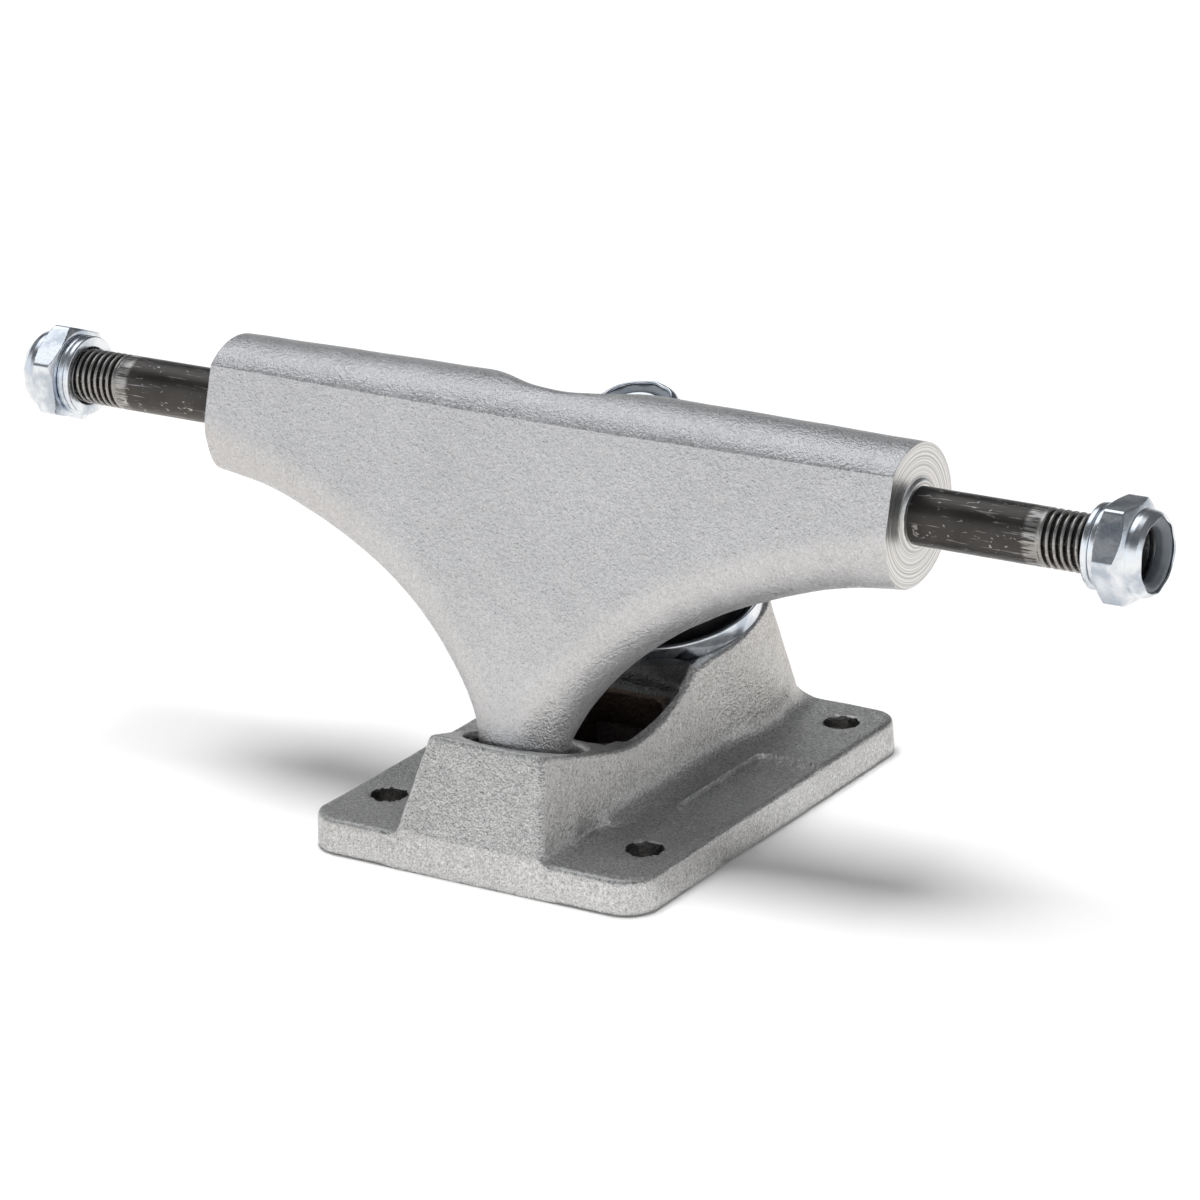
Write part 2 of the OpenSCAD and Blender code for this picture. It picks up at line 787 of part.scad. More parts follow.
module kingpin_nut_insert() {
    color(nylon_color)
        kingpin_frame()
            translate([0, 0, upper_washer_top])
                nylon_ring(kingpin_nut_h, kingpin_insert_h, kingpin_insert_r, kingpin_r + thread_gap);
}

module axle_nut(side) {
    color(zinc_color)
        on_axle(side, nut_seat_x)
            rotate([0, 0, side < 0 ? left_nut_turn : right_nut_turn])
                lock_nut(axle_nut_af, axle_nut_h, axle_nut_hex_h, axle_nut_collar_d,
                         axle_nut_mouth_d, thread_d / 2 + thread_gap, axle_insert_r, axle_insert_h);
}

module axle_nut_insert(side) {
    color(nylon_color)
        on_axle(side, nut_seat_x)
            nylon_ring(axle_nut_h, axle_insert_h, axle_insert_r, axle_insert_d / 2);
}

// place counts washers from the nut: 0 lies against the nut, 1 is the next one in
module speed_washer(side, place) {
    color(zinc_color)
        on_axle(side, nut_seat_x - (place + 1) * (speed_washer_t + stack_gap))
            difference() {
                cylinder(h = speed_washer_t, d = speed_washer_d);
                translate([0, 0, -1])
                    cylinder(h = speed_washer_t + 2, d = speed_washer_hole_d);
            }
}

base_plate();
pivot_cup();
kingpin();
lower_cup_washer();
lower_bushing();
hanger();
upper_bushing();
upper_cup_washer();
kingpin_nut();
kingpin_nut_insert();
axle();
speed_washer(-1, 1);  // speed_washer_left_inner
speed_washer(-1, 0);  // speed_washer_left_outer
speed_washer(1, 1);  // speed_washer_right_inner
speed_washer(1, 0);  // speed_washer_right_outer
axle_nut(-1);  // axle_nut_left
axle_nut(1);  // axle_nut_right
axle_nut_insert(-1);  // axle_nut_insert_left
axle_nut_insert(1);  // axle_nut_insert_right
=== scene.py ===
# %% [markdown]
# # A skateboard truck, dressed on its CAD frame
# The truck is two aluminium castings, a base plate and a T-shaped hanger, with a leaning kingpin,
# two rubber bushings, a threaded axle, lock nuts and washers. The CAD model holds every size and
# joint. This lesson gives each piece its finished surface: castings from distance fields, turned
# parts from outlines, real threads from a helix, and a procedural material for each finish.

# %% Load the frame
import math
import bmesh
import bpy
import numpy as np
from mathutils import Matrix, Vector


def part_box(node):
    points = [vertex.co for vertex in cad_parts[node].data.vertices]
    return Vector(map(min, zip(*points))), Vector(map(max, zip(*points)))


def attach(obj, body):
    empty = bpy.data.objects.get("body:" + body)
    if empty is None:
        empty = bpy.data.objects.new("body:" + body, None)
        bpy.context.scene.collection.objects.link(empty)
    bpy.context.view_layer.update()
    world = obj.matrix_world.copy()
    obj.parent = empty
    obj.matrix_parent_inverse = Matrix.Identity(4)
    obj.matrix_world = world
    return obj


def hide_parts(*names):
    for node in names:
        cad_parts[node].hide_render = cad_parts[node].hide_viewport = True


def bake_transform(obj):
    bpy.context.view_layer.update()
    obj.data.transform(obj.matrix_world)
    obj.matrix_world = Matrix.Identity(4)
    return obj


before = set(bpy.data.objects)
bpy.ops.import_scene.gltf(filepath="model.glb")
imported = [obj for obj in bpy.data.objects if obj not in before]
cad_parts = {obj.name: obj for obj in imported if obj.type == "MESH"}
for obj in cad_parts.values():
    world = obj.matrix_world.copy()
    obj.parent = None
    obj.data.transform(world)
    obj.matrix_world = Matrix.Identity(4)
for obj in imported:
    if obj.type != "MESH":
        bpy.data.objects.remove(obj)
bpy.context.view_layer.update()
MM = 0.001

# %% [markdown]
# ## Reading sizes off the frame
# The places of the axle, the hanger, the plate, the nuts and the washers come from the packed
# nodes. Angles and inner sizes, which no box shows, repeat the values that the CAD model has. All
# shape maths below is in millimetres and is scaled to metres when a mesh is made.

# %% Measure the frame
def size_of(node):
    """Lowest corner, highest corner and middle of a node, in millimetres."""
    lo, hi = (np.array(c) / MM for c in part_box(node))
    return lo, hi, (lo + hi) / 2


AXLE_LO, AXLE_HI, AXLE_MID = size_of("axle")
AXLE_Y, AXLE_Z = AXLE_MID[1], AXLE_MID[2]
AXLE_R = (AXLE_HI[2] - AXLE_LO[2]) / 2
AXLE_HALF = AXLE_HI[0]
BOSS_OUT = 0.5
HANGER_HALF = size_of("hanger")[1][0] - BOSS_OUT
PLATE_LO, PLATE_HI, PLATE_MID = size_of("base_plate")

# Upwards, the hanger's nose leans back from its mouth in the plate, and the kingpin forward.
PIVOT_LEAN = math.radians(16)
KINGPIN_LEAN = math.radians(19)
SEAT = np.array([0.0, 16.6, 22.0])
KINGPIN_DIR = np.array([0.0, -math.sin(KINGPIN_LEAN), math.cos(KINGPIN_LEAN)])
PIVOT_DIR = np.array([0.0, math.sin(PIVOT_LEAN), math.cos(PIVOT_LEAN)])
PIVOT_MOUTH = np.array([0.0, -24.2, 15.6])

# These sizes are used by a shape and by its paint.
THREAD_START = 73.0
BOLT_X, BOLT_Y, BOLT_R = 41.3 / 2, 27.0, 2.6
WINDOW_Y, WINDOW_HALF_L, WINDOW_HALF_W = -6.4, 8.6, 7.0
print("axle at", round(AXLE_Y, 2), round(AXLE_Z, 2), "half width of hanger", round(HANGER_HALF, 2))

# %% [markdown]
# ## Camera
# The camera was fitted to the photograph through the four deck holes: a long lens, a little
# above the truck and to its right. It has no shift and no depth of field.

# %% Camera at the photograph's viewing angle
CAM_AZIMUTH = math.radians(32.2)
CAM_ELEVATION = math.radians(19.37)
CAM_ROLL = math.radians(-1.31)
CAM_DISTANCE = 693.6
CAM_TARGET = np.array([-2.57, 0.0, 28.11])
FOCAL_PIXELS = 4986.0
IMAGE_PIXELS = 1200.0


def aim_camera():
    """Puts the camera at target - distance * forward, with its up turned by the roll."""
    a, e, roll = CAM_AZIMUTH, CAM_ELEVATION, CAM_ROLL
    forward = Vector((-math.sin(a) * math.cos(e), math.cos(a) * math.cos(e), -math.sin(e)))
    right = Vector((math.cos(a), math.sin(a), 0))
    up = right.cross(forward)
    c, s = math.cos(roll), math.sin(roll)
    right, up = right * c + up * s, up * c - right * s
    cam = bpy.data.objects.new("camera", bpy.data.cameras.new("camera"))
    bpy.context.scene.collection.objects.link(cam)
    place = Vector(CAM_TARGET * MM) - forward * CAM_DISTANCE * MM
    turn = Matrix((right, up, -forward)).transposed().to_4x4()
    cam.matrix_world = Matrix.Translation(place) @ turn
    cam.data.sensor_width = 36.0
    cam.data.lens = FOCAL_PIXELS / IMAGE_PIXELS * cam.data.sensor_width
    cam.data.clip_start = 0.01
    bpy.context.scene.camera = cam
    return cam


camera = aim_camera()
print("camera at", [round(v, 4) for v in camera.location], "lens", round(camera.data.lens, 1))

# %% [markdown]
# ## Shader maths that reads as Python
# Node trees get hard to read when each step is three lines. One small class wraps a socket, so an
# expression such as `mask * 0.4 + 0.1` adds the Math nodes by itself. A second class holds a
# material's tree and adds any other node from its type, settings and sockets.

# %% Sockets and materials
class Val:
    """A number that varies over the surface: a socket with operators."""

    def __init__(self, paint, socket):
        self.paint, self.socket = paint, socket

    def math(self, operation, *others, clamp=False):
        """A Math node of this number and the others."""
        settings = {"operation": operation, "use_clamp": clamp}
        return self.paint.node("ShaderNodeMath", settings, [self, *others])

    def __add__(self, other): return self.math("ADD", other)
    def __radd__(self, other): return self.math("ADD", other)
    def __sub__(self, other): return self.math("SUBTRACT", other)
    def __rsub__(self, other): return self.paint.number(other).math("SUBTRACT", self)
    def __mul__(self, other): return self.math("MULTIPLY", other)
    def __rmul__(self, other): return self.math("MULTIPLY", other)
    def abs(self): return self.math("ABSOLUTE")
    def clamped(self): return self.math("ADD", 0.0, clamp=True)

    def step(self, low, high):
        """0 below low, 1 above high and a smooth rise between them."""
        settings = {"interpolation_type": "SMOOTHSTEP"}
        return self.paint.node("ShaderNodeMapRange", settings, [self, low, high, 0.0, 1.0])


class Paint:
    """One material: a tree with a Principled shader, fed by expressions."""

    def __init__(self, name):
        self.material = bpy.data.materials.new(name)
        self.material.use_nodes = True
        self.tree = self.material.node_tree
        self.shader = self.tree.nodes["Principled BSDF"]
        place = self.node("ShaderNodeTexCoord", out="Object")
        self.place = self.node("ShaderNodeVectorMath", {"operation": "SCALE"}, {0: place, "Scale": 1 / MM})

    def node(self, kind, settings=None, inputs=(), out=0):
        """A new node with its settings, and its sockets by order or by name, as one of its outputs."""
        made = self.tree.nodes.new(kind)
        for key, value in (settings or {}).items():
            setattr(made, key, value)
        pairs = inputs.items() if isinstance(inputs, dict) else enumerate(inputs)
        for key, value in pairs:
            self.feed(made.inputs[key], value)
        return Val(self, made.outputs[out])

    def feed(self, socket, value):
        """Links a varying value to a socket, or writes a constant there."""
        if isinstance(value, Val):
            self.tree.links.new(value.socket, socket)
        else:
            socket.default_value = value

    def number(self, value):
        """A constant as a varying value, for a difference that starts with one."""
        return self.node("ShaderNodeMath", {"operation": "ADD"}, [value, 0.0])

    def axis(self, name):
        """One coordinate of the place on the object, in millimetres."""
        return self.node("ShaderNodeSeparateXYZ", inputs=[self.place], out=name.upper())

    def noise(self, size, detail=2.0, rough=0.55, stretch=(1, 1, 1), distortion=0.0):
        """Noise with blobs about size millimetres wide, from 0 to 1."""
        scale = [k / size for k in stretch]
        at = self.node("ShaderNodeVectorMath", {"operation": "MULTIPLY"}, {0: self.place, 1: scale})
        wanted = {"Vector": at, "Scale": 1.0, "Detail": detail, "Roughness": rough,
                  "Distortion": distortion}
        return self.node("ShaderNodeTexNoise", inputs=wanted)

    def mix(self, mask, low, high):
        """The colour low where the mask is 0 and high where it is 1."""
        low, high = ((*c, 1.0) if isinstance(c, tuple) else c for c in (low, high))
        return self.node("ShaderNodeMix", {"data_type": "RGBA"}, {0: mask, 6: low, 7: high}, out=2)

    def bump(self, height, depth_mm, below=None):
        """A bump whose height 1 stands depth_mm above height 0."""
        wanted = {"Height": height, "Distance": depth_mm * MM, "Strength": 1.0}
        if below is not None:
            wanted["Normal"] = below
        return self.node("ShaderNodeBump", inputs=wanted)

    def finish(self, **sockets):
        """Feeds the shader's sockets, named with _ for a space, and gives the material."""
        for key, value in sockets.items():
            if isinstance(value, tuple):
                value = (*value, 1.0)
            self.feed(self.shader.inputs[key.replace("_", " ")], value)
        return self.material


# %% [markdown]
# ## Raw cast aluminium
# The castings are tumbled after casting, which leaves a matte skin of tiny dimples with bright
# crests. Four sizes of noise make it: wide mottling, clouds of a few millimetres, dimples of about
# half a millimetre, and fine specks that change the roughness too. The base plate is the same
# metal, with stronger contrast. The beam's end faces are turned on a lathe, so there the skin
# gives way to fine rings.

# %% Cast aluminium
def cast_paint(name, dark, light):
    """Cast skin from dark to light. Gives the paint, the colour, the roughness and the dimples' height."""
    p = Paint(name)
    mottle = p.noise(16.0, 3.0)
    cloud = p.noise(3.0, 2.0)
    dimple = p.noise(0.62, 1.0, 0.5)
    speck = p.noise(0.26, 1.0, 0.5)
    tone = ((mottle - 0.5) * 0.30 + (cloud - 0.5) * 0.15 + (dimple - 0.5) * 0.5
            + (speck - 0.5) * 1.4 + 0.5)
    skin = p.mix(tone.clamped(), dark, light)
    height = dimple * 0.5 + speck * 0.5
    rough = 0.42 + (speck - 0.5) * 0.5 + (cloud - 0.5) * 0.12
    return p, skin, rough, height


def plate_cast(name, dark, light, grain):
    """The cast skin with dimples grain mm deep, darkened as painted shade in the hollow, window, dish and
    bolt holes.

    Little light reaches those places, and their shade is painted into the colour.
    """
    p, skin, rough, height = cast_paint(name, dark, light)
    x, y, z = p.axis("x").abs(), p.axis("y"), p.axis("z")
    across = (y - WINDOW_Y).abs()
    # Painted shade: masks for the hollow under the window and the window's opening, which get a near-black
    # colour because light barely reaches them.
    hollow = (1 - x.step(9.5, 9.9)) * (1 - across.step(8.7, 9.1)) * (1 - z.step(8.8, 10.6))
    window = 1 - x.step(WINDOW_HALF_W + 0.15, WINDOW_HALF_W + 0.25)
    window = window * (1 - across.step(WINDOW_HALF_L + 0.15, WINDOW_HALF_L + 0.25))
    # Painted shade: the dish round the window lies in the shade of the washer and the hanger, and is
    # darkened in the colour.
    dish = (1 - x.step(8.3, 8.9)) * (1 - (y + 0.5).abs().step(10.5, 12.0)) * z.step(10.0, 11.0)
    shaded = p.mix(dish * 0.92, skin, (0.028, 0.030, 0.030))
    bolt_x, bolt_y = x - BOLT_X, y.abs() - BOLT_Y
    # Painted shade: the walls and rims of the bolt holes are darkened in the colour.
    from_bolt = (bolt_x * bolt_x + bolt_y * bolt_y).math("SQRT")
    bolt = 1 - from_bolt.step(BOLT_R + 0.02, BOLT_R + 0.10)
    shaded = p.mix(bolt * 0.8, shaded, (0.05, 0.045, 0.04))
    # The hollow and the window get their near-black painted shade here.
    colour = p.mix(hollow.math("MAXIMUM", window), shaded, (0.060, 0.046, 0.038))
    return p.finish(Base_Color=colour, Roughness=rough, Metallic=0.95, Normal=p.bump(height, grain))


def from_axle(p):
    """Distance from the axle's middle line."""
    across, up = p.axis("y") - float(AXLE_Y), p.axis("z") - float(AXLE_Z)
    return (across * across + up * up).math("SQRT")


def hanger_cast(name, dark, light, grain):
    """The cast skin, and turned rings on the two end faces, where |x| nears the hanger's half width."""
    p, skin, rough, height = cast_paint(name, dark, light)
    rings = p.node("ShaderNodeTexNoise", {"noise_dimensions": "1D"},
                   {"W": from_axle(p), "Scale": 3.4, "Detail": 3.0})
    turned = p.axis("x").abs().step(float(HANGER_HALF) - 0.12, float(HANGER_HALF) - 0.04)
    face = p.mix(rings.step(0.35, 0.68), (0.50, 0.50, 0.50), (0.86, 0.87, 0.88))
    colour = p.mix(turned, skin, face)
    roughness = rough * (1 - turned) + turned * (0.22 + (1 - rings) * 0.2)
    normal = p.bump(height * (1 - turned), grain, p.bump(rings * turned, 0.05))
    return p.finish(Base_Color=colour, Roughness=roughness, Metallic=0.92, Normal=normal)


hanger_metal = hanger_cast("hanger_cast_aluminium", (0.45, 0.45, 0.455), (0.83, 0.83, 0.85), 0.17)
plate_metal = plate_cast("plate_cast_aluminium", (0.25, 0.246, 0.242), (0.91, 0.905, 0.90), 0.22)
print("materials:", hanger_metal.name, plate_metal.name)

# %% [markdown]
# ## Zinc, blackened steel, rubber and nylon
# Zinc plating is bright and slightly blue, with faint wear. The axle is blackened steel: the black
# is worn to bare metal in scratches and along the crests of the thread. Rubber and nylon are dull
# plastics whose skins still vary a little.

# %% The other finishes
def zinc_paint():
    """Bright bluish metal in duller and brighter patches."""
    p = Paint("zinc_plate")
    cloud = p.noise(3.5, 3.0)
    wear = p.noise(0.5, 2.0)
    colour = p.mix(cloud.step(0.30, 0.62), (0.50, 0.56, 0.64), (0.86, 0.90, 0.95))
    rough = 0.17 + cloud * 0.12 + (wear - 0.5) * 0.10
    return p.finish(Base_Color=colour, Roughness=rough, Metallic=1.0, Normal=p.bump(wear, 0.012))


def axle_paint():
    """Black oxide, worn off in scratches, on the crests of the thread and in a band before it."""
    p = Paint("blackened_steel")
    streak = p.noise(0.34, 3.0, 0.6, stretch=(0.06, 1, 1), distortion=0.4)
    nick = p.noise(0.8, 2.0, 0.5, stretch=(0.5, 1, 1), distortion=1.2)
    cloud = p.noise(6.0, 3.0)
    scratch = (streak.step(0.60, 0.70) * 0.6 + nick.step(0.64, 0.70) * 0.9).clamped()
    x = p.axis("x").abs()
    threaded = x.step(THREAD_START - 0.2, THREAD_START + 0.2)
    band = x.step(THREAD_START - 2.2, THREAD_START - 1.4) * (1 - threaded)
    crest = from_axle(p).step(float(AXLE_R) - 0.24, float(AXLE_R) - 0.16)
    worn = (scratch * (cloud * 1.5) + crest * threaded * (0.35 + nick * 0.7)
            + band * streak.step(0.40, 0.55) * 0.8).clamped()
    black = p.mix(cloud, (0.028, 0.026, 0.025), (0.105, 0.098, 0.094))
    colour = p.mix(worn, black, (0.50, 0.49, 0.48))
    rough = 0.34 + (cloud - 0.5) * 0.2 - worn * 0.08
    return p.finish(Base_Color=colour, Roughness=rough, Metallic=0.85, Normal=p.bump(streak, 0.02))


def rubber_paint(name, colour, rough):
    """Urethane: a plain colour that clouds to a slightly lighter one."""
    p = Paint(name)
    cloud = p.noise(2.8, 3.0)
    skin = p.noise(0.35, 2.0)
    lighter = tuple(c * 1.9 + 0.006 for c in colour)
    return p.finish(Base_Color=p.mix(cloud, colour, lighter), Roughness=rough + (cloud - 0.5) * 0.2,
                    Normal=p.bump(skin, 0.012))


def nylon_paint():
    """Grey nylon, slightly clouded."""
    p = Paint("nylon_grey")
    cloud = p.noise(1.2, 3.0)
    colour = p.mix(cloud, (0.20, 0.23, 0.26), (0.33, 0.36, 0.40))
    return p.finish(Base_Color=colour, Roughness=0.42 + (cloud - 0.5) * 0.2, Normal=p.bump(cloud, 0.02))


zinc = zinc_paint()
blackened = axle_paint()
bushing_rubber = rubber_paint("bushing_urethane", (0.010, 0.010, 0.011), 0.34)
cup_rubber = rubber_paint("cup_urethane", (0.012, 0.011, 0.010), 0.42)
nylon = nylon_paint()
ZINC = {"material": zinc, "slot": "zinc_plate"}
print("materials in all:", len(bpy.data.materials))

# %% [markdown]
# ## From arrays to meshes
# Every new piece ends as points and faces in one mesh whose object stays at the origin. Points are
# worked out in millimetres and scaled once, here.

# %% Mesh helpers
def make_piece(name, points, faces, material, body, slot, replaced, smooth_angle=None):
    """A mesh object from whole arrays, which rides on its body, if any, and replaces the CAD nodes."""
    mesh = bpy.data.meshes.new(name)
    mesh.from_pydata(np.asarray(points, dtype=float) * MM, [], np.asarray(faces).tolist())
    made = bmesh.new()
    made.from_mesh(mesh)
    bmesh.ops.remove_doubles(made, verts=made.verts, dist=1e-7)
    bmesh.ops.recalc_face_normals(made, faces=made.faces)
    made.to_mesh(mesh)
    made.free()
    mesh.polygons.foreach_set("use_smooth", np.ones(len(mesh.polygons), dtype=bool))
    if smooth_angle is not None:
        mesh.set_sharp_from_angle(angle=math.radians(smooth_angle))
    piece = bpy.data.objects.new(name, mesh)
    bpy.context.scene.collection.objects.link(piece)
    mesh.materials.append(material)
    if body is not None:
        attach(piece, body)
    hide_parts(*replaced)
    print(name, len(mesh.vertices), "points", len(mesh.polygons), "faces")
    return piece


# %% [markdown]
# ## Distance fields for the castings
# A casting has no sharp inner corners: every rib and wall flows into its neighbour. A signed
# distance field gives that for free. It is a function that is negative inside the metal and
# positive outside, and a smooth minimum joins two shapes with a fillet. Surface nets then turn
# the field into an even mesh of quads, and a few Newton steps move each point exactly on to it.

# %% Field operators
def join(a, b, r):
    """min(a, b) less h * h * r / 4, where h = max(r - |a - b|, 0) / r: a union with a fillet."""
    h = np.maximum(r - np.abs(a - b), 0) / r
    return np.minimum(a, b) - h * h * r / 4


def cut(a, b, r):
    """The part of a that is outside b, with an edge rounded over about r."""
    return -join(-a, b, r)


def common(a, b, r):
    """The part that a and b share, with an edge rounded over about r."""
    return -join(-a, -b, r)


def round_box(x, y, hx, hy, r):
    """Distance to a rectangle of half sizes hx, hy with corners of radius r."""
    qx, qy = np.abs(x) - hx + r, np.abs(y) - hy + r
    outside = np.hypot(np.maximum(qx, 0), np.maximum(qy, 0))
    return outside + np.minimum(np.maximum(qx, qy), 0) - r


def along(x, y, z, origin, lean, sign):
    """Coordinates (y', z') of a frame at origin whose z' leans by lean in the YZ plane."""
    dy, dz = y - origin[1], z - origin[2]
    c, s = math.cos(lean), math.sin(lean) * sign
    return dy * c - dz * s, dy * s + dz * c


# %% Surface nets
def surface_nets(field, lo, hi, step):
    """Points, one per cell that the surface passes, at the mean of its edge crossings, and quads.

    There is one quad for each grid edge that the surface crosses, between the four cells round it.
    """
    axes = [np.arange(a, b + step, step) for a, b in zip(lo, hi)]
    d = field(axes[0][:, None, None], axes[1][None, :, None], axes[2][None, None, :])
    n = np.array(d.shape)
    total = np.zeros((*(n - 1), 3), dtype=np.float32)
    count = np.zeros(n - 1, dtype=np.float32)
    crossings = []
    for ax in range(3):
        u, v = (ax + 1) % 3, (ax + 2) % 3
        a = np.moveaxis(d, (ax, u, v), (0, 1, 2))
        low, high = a[:-1], a[1:]
        p = np.argwhere((low < 0) != (high < 0))
        va, vb = low[tuple(p.T)], high[tuple(p.T)]
        t = va / (va - vb)
        keep = (p[:, 1] > 0) & (p[:, 2] > 0) & (p[:, 1] < n[u] - 1) & (p[:, 2] < n[v] - 1)
        p, t, flip = p[keep], t[keep], (va < 0)[keep]
        corner = np.zeros((len(p), 4, 3), dtype=np.int64)
        for k, (du, dv) in enumerate(((-1, -1), (0, -1), (0, 0), (-1, 0))):
            cell = np.zeros((len(p), 3), dtype=np.int64)
            cell[:, ax], cell[:, u], cell[:, v] = p[:, 0], p[:, 1] + du, p[:, 2] + dv
            corner[:, k] = cell
            at = np.zeros((len(p), 3), dtype=np.float32)
            at[:, ax], at[:, u], at[:, v] = p[:, 0] + t, p[:, 1], p[:, 2]
            np.add.at(total, tuple(cell.T), at)
            np.add.at(count, tuple(cell.T), 1)
        corner[~flip] = corner[~flip][:, ::-1]
        crossings.append(corner)
    used = count > 0
    index = np.full(n - 1, -1, dtype=np.int64)
    index[used] = np.arange(used.sum())
    points = total[used] / count[used][:, None] * step + np.array([a[0] for a in axes])
    quads = np.concatenate([index[tuple(np.moveaxis(c, 2, 0))] for c in crossings])
    return points, quads


def slope(field, x, y, z, eps=0.01):
    """How fast the field grows along X, Y and Z."""
    return np.stack([
        field(x + eps, y, z) - field(x - eps, y, z),
        field(x, y + eps, z) - field(x, y - eps, z),
        field(x, y, z + eps) - field(x, y, z - eps)], axis=1) / (2 * eps)


def settle(points, field, step, rounds=4):
    """Newton steps on to the surface: p less d * g / |g|^2, with g the slope of the field."""
    for _ in range(rounds):
        d = field(*points.T)
        g = slope(field, *points.T)
        move = -d[:, None] * g / np.maximum((g * g).sum(1), 0.05)[:, None]
        length = np.linalg.norm(move, axis=1)
        points = points + move * np.minimum(1, 0.5 * step / np.maximum(length, 1e-9))[:, None]
    return points


def cast_piece(name, field, lo, hi, step, sharpen, **piece):
    """Nets the field with a grid step in mm, settles the points and moves some of them on to rims."""
    points, quads = surface_nets(field, lo, hi, step)
    points = sharpen(settle(points, field, step), step)
    return make_piece(name, points, quads, smooth_angle=55, **piece)


# %% [markdown]
# ## The hanger
# The hanger is the hardest casting: a round beam with a flat front, a web with a full round edge
# that sweeps down to the pivot nose, a ring behind it for the kingpin and a pocket for its nut.
# The web's middle sheet is a sum of two power curves, x = W (0.6 t^1.5 + 0.4 t^5), where t is the
# height as a share of the wing's. Its distance is looked up in a small table, and half the web's
# thickness is taken off it, which makes the round edge.

# %% The hanger's shape
FRONT = 8.15
BEAM_R = 9.5
WEB_T = 12.6
WEB_TOP = 3.5
NOSE_LINE = 16.0
WING_HEIGHT = 35.4
WEB_LIFT = 0.4
WEB_START = 0.5
TABLE_STEP = 0.5
RING_BOTTOM, RING_TOP = 14.0, 19.0
RING_R, RING_HOLE_R = 12.5, 6.4
NUT_POCKET_R, NUT_POCKET_SIDE = 11.8, 3.0
SCOOP_R, SCOOP_BACK, SCOOP_UP = 17.0, 15.1, 18.0
BALL_R, BALL_DEPTH = 5.0, 5.0
NOSE_R = WEB_T / 2
NOSE_SLOPE = (NOSE_R - BALL_R) / BALL_DEPTH
NOSE_OFFSET = 0.53
NOSE_TOP = 6.4
BOSS_R = 4.75
BRACKET_HALF, BRACKET_ROOT_R, BRACKET_WEB_R, BRACKET_FOOT = 22.0, 4.6, 3.5, 13.0


def web_half(h):
    """Half the width of the web's middle sheet at height h above the nose line."""
    t = np.maximum(h - WEB_LIFT, 0) / WING_HEIGHT
    return HANGER_HALF * (0.6 * t ** 1.5 + 0.4 * t ** 5)


def web_table():
    """Distances in the web's plane from its outline, on a grid of u and h."""
    us, hs = np.arange(0, 70, TABLE_STEP), np.arange(-25, 60, TABLE_STEP)
    h = np.linspace(WEB_START, 52, 500)
    curve = np.stack([web_half(h), h], axis=1)
    tip_x = curve[0, 0]
    tip = np.stack([np.linspace(0, tip_x, 8)[:-1], np.full(7, WEB_START)], axis=1)
    line = np.concatenate([tip, curve])
    gap = np.hypot(us[:, None, None] - line[:, 0], hs[None, :, None] - line[:, 1]).min(2)
    inside = us[:, None] < web_half(hs)[None, :]
    inside &= hs[None, :] > WEB_START
    return us, hs, np.where(inside, -gap, gap)


WEB_US, WEB_HS, WEB_GAP = web_table()


def look_up(u, h):
    """Bilinear reading of the table."""
    i = np.clip((np.abs(u) - WEB_US[0]) / TABLE_STEP, 0, len(WEB_US) - 1.001)
    j = np.clip((h - WEB_HS[0]) / TABLE_STEP, 0, len(WEB_HS) - 1.001)
    i, j = np.broadcast_arrays(i, j)
    i0, j0 = i.astype(int), j.astype(int)
    fi, fj = i - i0, j - j0
    low = WEB_GAP[i0, j0] * (1 - fi) + WEB_GAP[i0 + 1, j0] * fi
    high = WEB_GAP[i0, j0 + 1] * (1 - fi) + WEB_GAP[i0 + 1, j0 + 1] * fi
    return low * (1 - fj) + high * fj


def ripple(x, y, z, size, depth):
    """A few crossed sine waves: the slight unevenness of a cast wall."""
    k = 2 * math.pi / size
    return depth * (np.sin(k * x + 1.3 * np.sin(k * 0.7 * z)) * np.sin(k * 0.8 * y + 2.1)
                    * np.sin(k * 1.1 * z + 0.7)
                    + 0.5 * np.sin(k * 1.9 * x + 0.4) * np.sin(k * 1.7 * z + k * y))


def kingpin_space(x, y, z):
    """Distance from the kingpin's axis, and height along it above the seat."""
    return along(x, y, z, SEAT, KINGPIN_LEAN, -1)


def pivot_space(x, y, z):
    """Distance from the nose's axis, and height along it above the mouth."""
    return along(x, y, z, PIVOT_MOUTH, PIVOT_LEAN, 1)


def beam_space(x, y, z):
    """Distance behind the axle, and height above it, square to the beam's flat front."""
    return along(x, y, z, (0, AXLE_Y, AXLE_Z), PIVOT_LEAN, 1)


def smooth(t):
    """0 below t = 0, 1 above t = 1 and 3 t^2 - 2 t^3 between them."""
    t = np.clip(t, 0, 1)
    return t * t * (3 - 2 * t)


def beam_section(x, fv):
    """The beam's front offset, and its radius at height fv above the axle. It is a little barrel shaped."""
    middle = np.cos(np.clip(x / HANGER_HALF, -1, 1) * math.pi / 2)
    return FRONT + 0.3 * middle, BEAM_R + (0.1 + 0.4 * middle) * np.clip(fv / BEAM_R, 0, 1) ** 3


def hanger_front(x, y, z):
    """The beam with its flat front, and the web. Their fillet fades out towards the one front plane."""
    fy, fv = beam_space(x, y, z)
    w = -fy
    front, radius = beam_section(x, fv)
    beam = common(np.hypot(w, fv) - radius, w - front, 0.01 + 4.0 * smooth((1.0 - fv) / 6.0))
    wm = FRONT - WEB_T / 2
    height = (fv * math.cos(PIVOT_LEAN) + wm * math.sin(PIVOT_LEAN)) + AXLE_Z - NOSE_LINE
    nz = pivot_space(x, y, z)[1]
    bend = NOSE_OFFSET * smooth((12.0 - nz) / 10.0) - (front - FRONT) * smooth((nz - 8.0) / 14.0)
    web = np.hypot(np.maximum(look_up(x, height), 0), w - wm + bend) - WEB_T / 2
    web = np.maximum(web, fv - WEB_TOP)
    fillet = 0.01 + 3.0 * smooth((front - 1.0 - w) / 4.0)
    return join(beam, web, fillet)


